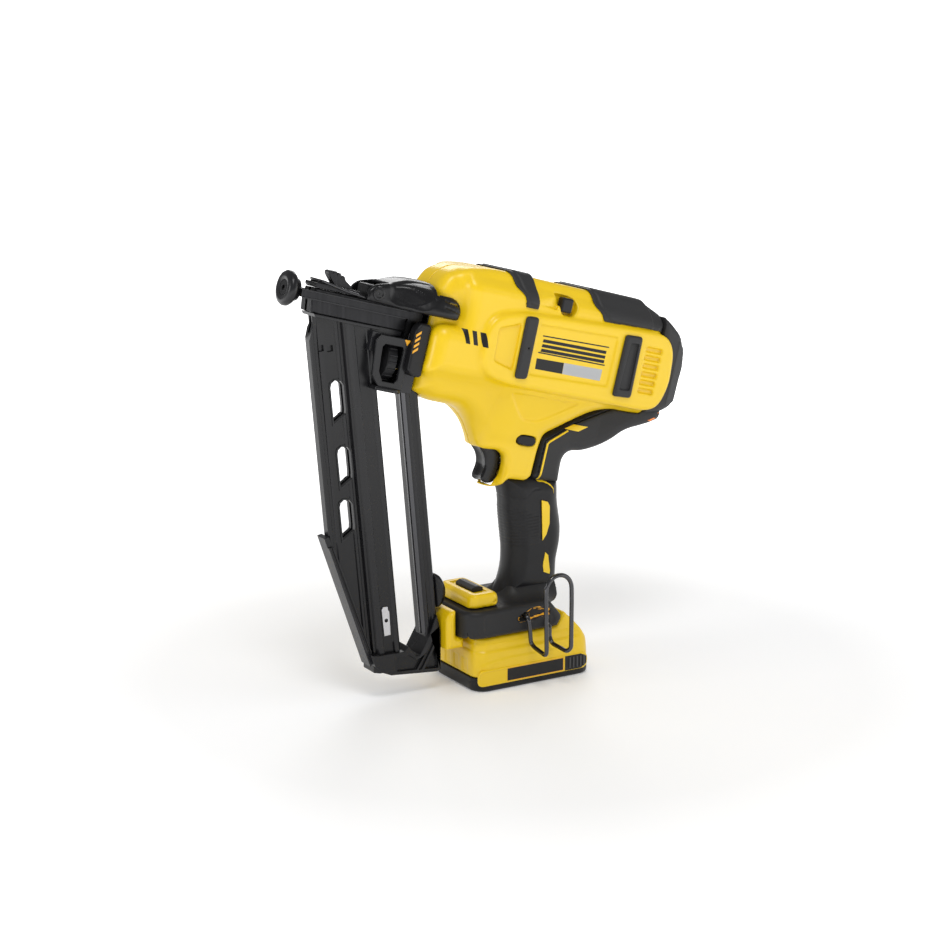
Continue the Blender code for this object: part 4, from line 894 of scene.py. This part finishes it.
collar = [(-182, -10), (-178.5, -4.5), (-169, -4.5), (-168.3, -8), (-168.3, -47), (-176, -47.5), (-182, -43)]
solid("guard_collar", merged(prism(collar, -26.5, -16), prism(collar, 16, 26.5)), DRIVE, BLACK,
      "tool", (), 2.2, 30, 5)
solid("guard_triangle", prism([(-187, -20.2), (-181.4, -19.9), (-184, -24.6)], -20.75, -20.35), DRIVE, ORANGE,
      bevel=0.05)
for index in range(4):
    z = -13 - 4.4 * index
    solid(f"hazard_stripe_{index + 1}", prism([(-181.4, z - 3.2), (-181.4, z - 1), (-177.4, z + 2.4), (-177.4, z + 0.2)], -26.9, -26.3),
          DRIVE, ORANGE, bevel=0.05)

cap = [(0, 3.2), (0.6, 17.2), (1.4, 18.0), (8.6, 18.0), (9.4, 17.2), (10, 3.2)]
wheel = lathe(cap, (-197, 0, WHEEL_Z), (1, 0, 0), 60)
ribs = []
for index in range(20):
    angle = 2 * math.pi * index / 20
    y, z = 18.1 * math.cos(angle), WHEEL_Z + 18.1 * math.sin(angle)
    ribs.append(rod((-195.5, y, z), (-188.5, y, z), 0.9, 10))
solid("ribbed_wheel", merged(wheel, *ribs), DRIVE, BLACK, "depth_wheel", ("depth_wheel",), 0.2)

pad = [(1.0, 6.4), (0.2, 8.6), (0.2, 10.6), (1.2, 12.8), (3.2, 14.0), (5.6, 13.9), (7.6, 12.4), (8.8, 10.4), (10.4, 9.2), (12.2, 8.8),
       (12.4, 7.4), (11.4, 6.4), (6, 6.4)]
solid("pad_cup", lathe(pad, (-292, 0, 0), (1, 0, 0), 56), DRIVE, SATIN, "contact_trip", ("no_mar_pad",), 0)
hook = [(-248.5, 8.6), (-253, 13), (-256.8, 17.2), (-257.2, 19.4), (-255.2, 20.6), (-254, 19.4), (-253.2, 18.2), (-252, 20.2), (-250.2, 20.6),
        (-249.4, 17.6), (-248, 19.8), (-246.2, 19.6), (-245.8, 16.6), (-244.2, 18.4), (-242.4, 17.6), (-241, 15), (-236, 12), (-232, 8.6)]
door = merged(prism([(-268.9, 6.7), (-267.4, 5.1), (-229, 5.1), (-229, 9.1), (-268.9, 9.1)], -9, 9), prism(hook, -4, 4),
              prism([(-266, 9.0), (-266, 10.2), (-256, 10.6), (-254, 9.0)], -6.5, -4.6),
              prism([(-266, 9.0), (-266, 10.2), (-256, 10.6), (-254, 9.0)], 4.6, 6.5))
solid("toothed_door", door, DRIVE, BLACK_STEEL, "nose_door", ("nose_door",), 0.35)

solid("nose_web", merged(prism([(-214, -14.6), (-214, -17.5), (-209, -22.5), (-184.6, -18.5), (-184.6, -14.6)], -8.6, 8.6),
                         prism([(-266, -14.8), (-264, -17.3), (-206, -17.3), (-206, -14.8)], -11.3, 11.3),
                         block(-214, -207, -15.5, 15.5, -34, -18.5), block(-180, -169, -16.8, 16.8, -62, -46)), DRIVE, SATIN, bevel=0.4)
solid("lever_hubs", merged(*[lathe([(0, 0.6), (0, 5.6), (1.2, 5.2), (1.4, 3.6), (0.7, 3.2), (0.7, 0.6)],
                                   (-217, side * 16.9, 11), (0, side, 0), 32) for side in (-1, 1)]),
      DRIVE, SATIN, "jam_lever", bevel=0.2)
solid("trip_edges", merged(*[prism([(-279, -4.6), (-279, -3.4), (-186, -3.4), (-186, -4.6)], y0, y1)
                             for y0, y1 in ((-13.5, -12.9), (12.9, 13.5))],
                           *[prism([(-279, 1.2), (-279, 2.4), (-186, 2.4), (-186, 1.2)], y0, y1)
                             for y0, y1 in ((-13.5, -12.9), (12.9, 13.5))]),
      DRIVE, SATIN, "contact_trip", bevel=0.2)

# ---- rubber bumpers on the pod ----
for name, corners, slot_corners, x0, x1 in (
        ("front", [(-95, 19, 3.5), (-83, 20, 3.5), (-82, -31, 3.5), (-93.5, -32, 3.5)], None, -97, -80),
        ("rear", [(5, 21.5, 3), (22, 22.5, 3), (23.5, -29.5, 3), (5, -30.5, 3)],
         [(10.5, 15.5, 1.5), (19, 16, 1.5), (20, -23.5, 1.5), (9, -24, 1.5)], 3, 26)):
    grid = Grid((x0, 38, -34), (x1, 47.5, 25), FINE * 0.62)
    shape = carry(outline(soft(corners), grid.x, grid.z), grid.y, 30, 45.9, 2.4)
    if slot_corners:
        recess = outline(soft(slot_corners), grid.x, grid.z)
        shape = np.maximum(shape, -carry(recess, grid.y, 43.4, 60, 0.3))
    else:
        shape = np.maximum(shape, -(np.hypot(grid.x + 87.6, grid.z + 6) - 0.8 + np.maximum(44.5 - grid.y, 0)))
    body, pod = plain_body(grid)
    shape = np.maximum(shape, -(union(body, pod, 5) - 0.15))
    for side in ("left", "right"):
        moulded(f"{side}_{name}_pad", grid, shape, DRIVE, RUBBER, "tool", (f"{side}_{name}_bumper",),
                mirror=side == "left")

# ---- prints, trim and lenses ----
SHELLS = {-1: bpy.data.objects["left_shell"], 1: bpy.data.objects["right_shell"]}
OVERMOULD = bpy.data.objects["overmould"]
for side, word in ((-1, "left"), (1, "right")):
    shell = SHELLS[side]
    laid(f"{word}_plate_bars",
         [[(-74, 6.6), (-7.5, 8.6), (-7.4, 7.6), (-74, 5.6)], [(-75, -7.2), (-7.6, -6.6), (-7.6, -7.6), (-75, -8.2)]]
         + [[(-72.5, z), (-9, z + 1.2), (-9, z - 1.4), (-73, z - 2.6)] for z in (3.6, -0.4, -4.2)],
         DRIVE, shell, side, PRINT_BLACK, "tool", 0.12, 0.4, (24, 2))
    laid(f"{word}_strip_dark", [[(-75, -12.6), (-48, -11.9), (-47.4, -21.0), (-74.4, -21.4)]], DRIVE, shell, side,
         PRINT_BLACK, "tool", 0.1, 0.4, (8, 4))
    laid(f"{word}_strip_grey", [[(-47.8, -11.9), (-9, -11.0), (-9, -20.4), (-47.2, -21.0)]], DRIVE, shell, side,
         PRINT_GREY, "tool", 0.1, 0.4, (12, 4))
    laid(f"{word}_front_mark",
         [[(-146 + 7.4 * i, -1.5), (-142 + 7.4 * i, -1.5), (-138 + 7.4 * i, -12.5), (-142 + 7.4 * i, -12.5)] for i in range(3)],
         DRIVE, shell, side, PRINT_BLACK, "tool", 0.14, 0.5, (5, 12))
    trim = ribbon([(-30.6, -112), (-30.6, -81.4), (-29.2, -79.2), (-14, -67.3)], 1.4)
    laid(f"{word}_trim", trim + [[(-17.6, -66.2), (-9.4, -61.2), (3.4, -61), (-4.6, -66.4)]], DRIVE, OVERMOULD, side,
         YELLOW, "tool", 0.3, 0.7, (12, 3))
    laid(f"{word}_lenses",
         [[(55.5, -45.6), (60.5, -42.2), (63.5, -42.4), (59, -46.0)], [(62.5, -37.6), (69, -34.4), (71.6, -35.2), (65.4, -38.4)]],
         DRIVE, OVERMOULD, side, AMBER, "tool", 0.15, 0.6, (4, 2))

# ---- mount block, battery pads and belt hook ----
grid = Grid((-78.5, -24.5, 35), (-59, 24.5, 71), FINE * 0.7)
side = outline(soft([(-76.9, 36.5, 1.5), (-76.9, 62, 4), (-73.5, 68.5, 5), (-67.3, 69.6, 1), (-67.3, 46.4, 1), (-60, 46.4, 1), (-60, 36.5, 1)]), grid.x, grid.z)
shape = carry(side, np.abs(grid.y), -99, 22.5, 4.5)
shape = np.maximum(shape, -(round_box(grid, -57.5, 57.5, 37.5, 13) - 0.4))
moulded("mount_block", grid, shape, WORLD, YELLOW, "tool", ("magazine_mount_block",))

PILL = [(-56, 5.4, 5), (-56, 19.6, 7), (52.5, 19.6, 7), (52.5, 5.4, 7)]
grid = Grid((-58, 33, 4), (54, 39.5, 21.5), FINE * 0.62)
pill = outline(soft(PILL), grid.x, grid.z)
fall = 1.6 * np.clip((np.abs(grid.x + 1.8) - 44) / 11, 0, 1) ** 2
shape = carry(pill, grid.y, 35, 38.5 - 0, 1.2)
shape = np.maximum(shape, grid.y - 38.5 + fall)
dip = outline(soft([(-54.4, 7.0, 4), (-54.4, 18.0, 5), (-29.5, 18.0, 2), (-29.5, 7.0, 2)]), grid.x, grid.z)
shape = shape + 0.7 * np.clip(0.5 - dip / 0.8, 0, 1) * np.clip((grid.y - 36.5) / 1.0, 0, 1)
for side, word in ((-1, "left"), (1, "right")):
    pad = moulded(f"{word}_battery_pad", grid, shape, WORLD, YELLOW, "battery", (), mirror=side < 0)
    laid(f"{word}_battery_outline", [[(-29.2, 18.6), (27.6, 18.6), (27.6, 6.6), (-29.2, 6.6)]], WORLD, pad, side,
         ORANGE, "battery", 0.05, 0.3, (8, 3))
    laid(f"{word}_battery_label", [[(-28.4, 17.8), (26.8, 17.8), (26.8, 7.4), (-28.4, 7.4)]], WORLD, pad, side,
         PRINT_BLACK, "battery", 0.16, 0.4, (8, 3))
    laid(f"{word}_battery_patch", [[(28.8, 18.8), (45, 18.8), (45, 6.2), (28.8, 6.2)], [(45, 18.8), (51.2, 15.6), (51.2, 9.4), (45, 6.2)]],
         WORLD, pad, side, BLACK, "battery", 0.2, 0.5, (5, 4))
    laid(f"{word}_battery_ribs", [[(x, 17.2), (x + 1.3, 17.2), (x + 1.3, 7.8), (x, 7.8)] for x in (33, 36.6, 40.2, 43.8, 47.4)],
         WORLD, pad, side, PANEL_RUBBER, "battery", 0.7, 0.8, (1, 5))

hook = [(-10, -31, 61), (-10, -41, 61), (-8.5, -41.5, 50), (-7.5, -41.5, 38), (-7, -46, 35), (-7.4, REACH, 32.5),
        (-7.6, REACH, 44), (-8.6, REACH, 80)]
hook += [(4 - 12.6 * math.cos(math.pi * k / 9), REACH, 88 + 12.6 * math.sin(math.pi * k / 9)) for k in range(10)]
hook += [(16.8, REACH, 76), (16.6, REACH, 36), (14.6, REACH + 3, 32.5), (11.5, -45, 35), (11, -41.5, 40), (11, -41.5, 52), (11, -31, 52)]
solid("hook_wire", tube(hook, 1.85, 7.0, 20), WORLD, WIRE, "tool", ("belt_hook",), 0)
base = bpy.data.objects["base_shell"]
KEY_SLOT = [[(-15, 61.2), (13, 63.4), (13, 59.0), (-15, 56.4)], [(-6.6, 61.6), (-1.4, 65.6), (3.2, 65.6), (7, 62.6)]]
KEY_EDGE = [[(-15.9, 62.0), (13.9, 64.3), (13.9, 58.0), (-15.9, 55.5)], [(-7.9, 62.2), (-1.9, 66.6), (3.8, 66.6), (8.6, 63.4)]]
laid("hook_slot_edge", KEY_EDGE, WORLD, base, -1, ORANGE, "tool", 0.1, 0.4, (8, 3))
laid("hook_slot", KEY_SLOT, WORLD, base, -1, PRINT_BLACK, "tool", 0.25, 0.5, (8, 3))
# the yellow line turns off the neck and down the grip in a quarter ellipse
GRIP_LINE = [(13, 170.6)] + [(13 + 17 * math.sin(math.radians(t)), 156.5 + 12 * math.cos(math.radians(t)))
                             for t in (8, 24, 40, 56, 73, 90)]
for side, word in ((-1, "left"), (1, "right")):
    laid(f"{word}_low_inlay", [[(20, 94.5), (20.6, 89), (26.4, 86.5), (27, 89)], [(20, 94.5), (22, 106), (25, 103), (27, 89)]], WORLD,
         bpy.data.objects["handle_grip"], side, YELLOW, "tool", 0.3, 0.8, (6, 4))
    laid(f"{word}_grip_line", [[(x0, z0 + 0.7), (x1, z1 + 0.7), (x1, z1 - 0.7), (x0, z0 - 0.7)]
                               for (x0, z0), (x1, z1) in zip(GRIP_LINE, GRIP_LINE[1:])], WORLD,
         bpy.data.objects["handle_grip"], side, YELLOW, "tool", 0.3, 0.8, (3, 2))

# ---- what still comes from the CAD: softened edges ----
for node in ("latch_bail", "lever_pin"):
    frame["nodes"][node].data.materials.clear()
    frame["nodes"][node].data.materials.append(WIRE)
for node in frame["nodes"].values():
    if node.type == "MESH" and len(node.modifiers) == 0:
        weld = node.modifiers.new("weld", "WELD")
        weld.merge_threshold = 0.00001
        rounding = node.modifiers.new("rounding", "BEVEL")
        rounding.width, rounding.segments = 0.0004, 2
        rounding.limit_method, rounding.angle_limit = "ANGLE", math.radians(35)

# ---- camera, light and floor ----
def studio():
    scene = bpy.context.scene
    azimuth, elevation = math.radians(-31), math.radians(13.3)
    back = Vector((math.sin(azimuth) * math.cos(elevation), -math.cos(azimuth) * math.cos(elevation),
                   math.sin(elevation)))
    camera = bpy.data.objects.new("camera", bpy.data.cameras.new("camera"))
    camera.data.sensor_width = 36
    camera.data.lens = 79.58
    camera.location = (-0.90758, -1.44917, 0.57618)
    camera.rotation_mode = "QUATERNION"
    camera.rotation_quaternion = (-back).to_track_quat("-Z", "Y")
    scene.collection.objects.link(camera)
    scene.camera = camera
    floor = bpy.data.objects.new("floor", bpy.data.meshes.new("floor"))
    shape = bmesh.new()
    bmesh.ops.create_grid(shape, x_segments=2, y_segments=2, size=12)
    shape.to_mesh(floor.data)
    shape.free()
    paper, nodes, links, shader = shader_of("paper", (0.93, 0.93, 0.93), 0.9)
    coords = nodes.new("ShaderNodeTexCoord")
    patch = noise(nodes, links, coords, 3, 2)
    links.new(mix_colour(nodes, links, patch.outputs["Fac"], (0.92, 0.92, 0.92), (0.94, 0.94, 0.94)),
              shader.inputs["Base Color"])
    # the floor glows, faintly near the tool and strongly far off: painted light that makes the far floor read pure
    # white
    away = nodes.new("ShaderNodeVectorMath")
    away.operation = "LENGTH"
    links.new(coords.outputs["Object"], away.inputs[0])
    links.new(ramp(nodes, links, away.outputs["Value"], 0.3, 1.4, 0.12, 1.2).outputs["Result"],
              shader.inputs["Emission Strength"])
    shader.inputs["Emission Color"].default_value = (1, 1, 1, 1)
    floor.data.materials.append(paper)
    scene.collection.objects.link(floor)
    world = bpy.data.worlds.new("studio")
    world.use_nodes = True
    world.node_tree.nodes["Background"].inputs["Color"].default_value = (1, 1, 1, 1)
    tree = world.node_tree
    around = tree.nodes["Background"]
    paper_white = tree.nodes.new("ShaderNodeBackground")
    paper_white.inputs["Strength"].default_value = 2.0
    seen = tree.nodes.new("ShaderNodeLightPath")
    blend = tree.nodes.new("ShaderNodeMixShader")
    strength = tree.nodes.new("ShaderNodeMapRange")
    strength.inputs["To Min"].default_value = 0.56
    strength.inputs["To Max"].default_value = 0.26
    tree.links.new(seen.outputs["Is Glossy Ray"], strength.inputs["Value"])
    tree.links.new(strength.outputs["Result"], around.inputs["Strength"])
    tree.links.new(seen.outputs["Is Camera Ray"], blend.inputs["Fac"])
    tree.links.new(around.outputs["Background"], blend.inputs[1])
    tree.links.new(paper_white.outputs["Background"], blend.inputs[2])
    tree.links.new(blend.outputs["Shader"], tree.nodes["World Output"].inputs["Surface"])
    scene.world = world
    for name, place, energy, size in (("key", (-0.5, -1.0, 1.9), 11.5, 0.6), ("fill", (1.5, -1.1, 0.6), 3, 1.0),
                                      ("rim", (0.8, 1.3, 1.1), 7, 0.8), ("left", (-1.8, 0.2, 0.7), 6, 0.6)):
        lamp = bpy.data.lights.new(name, "AREA")
        lamp.energy, lamp.size = energy, size
        holder = bpy.data.objects.new(name, lamp)
        holder.location = place
        holder.rotation_mode = "QUATERNION"
        holder.rotation_quaternion = (Vector((-0.02, 0, 0.2)) - Vector(place)).to_track_quat("-Z", "Y")
        scene.collection.objects.link(holder)
    scene.view_settings.view_transform = "Standard"
    scene.view_settings.look = "None"


studio()
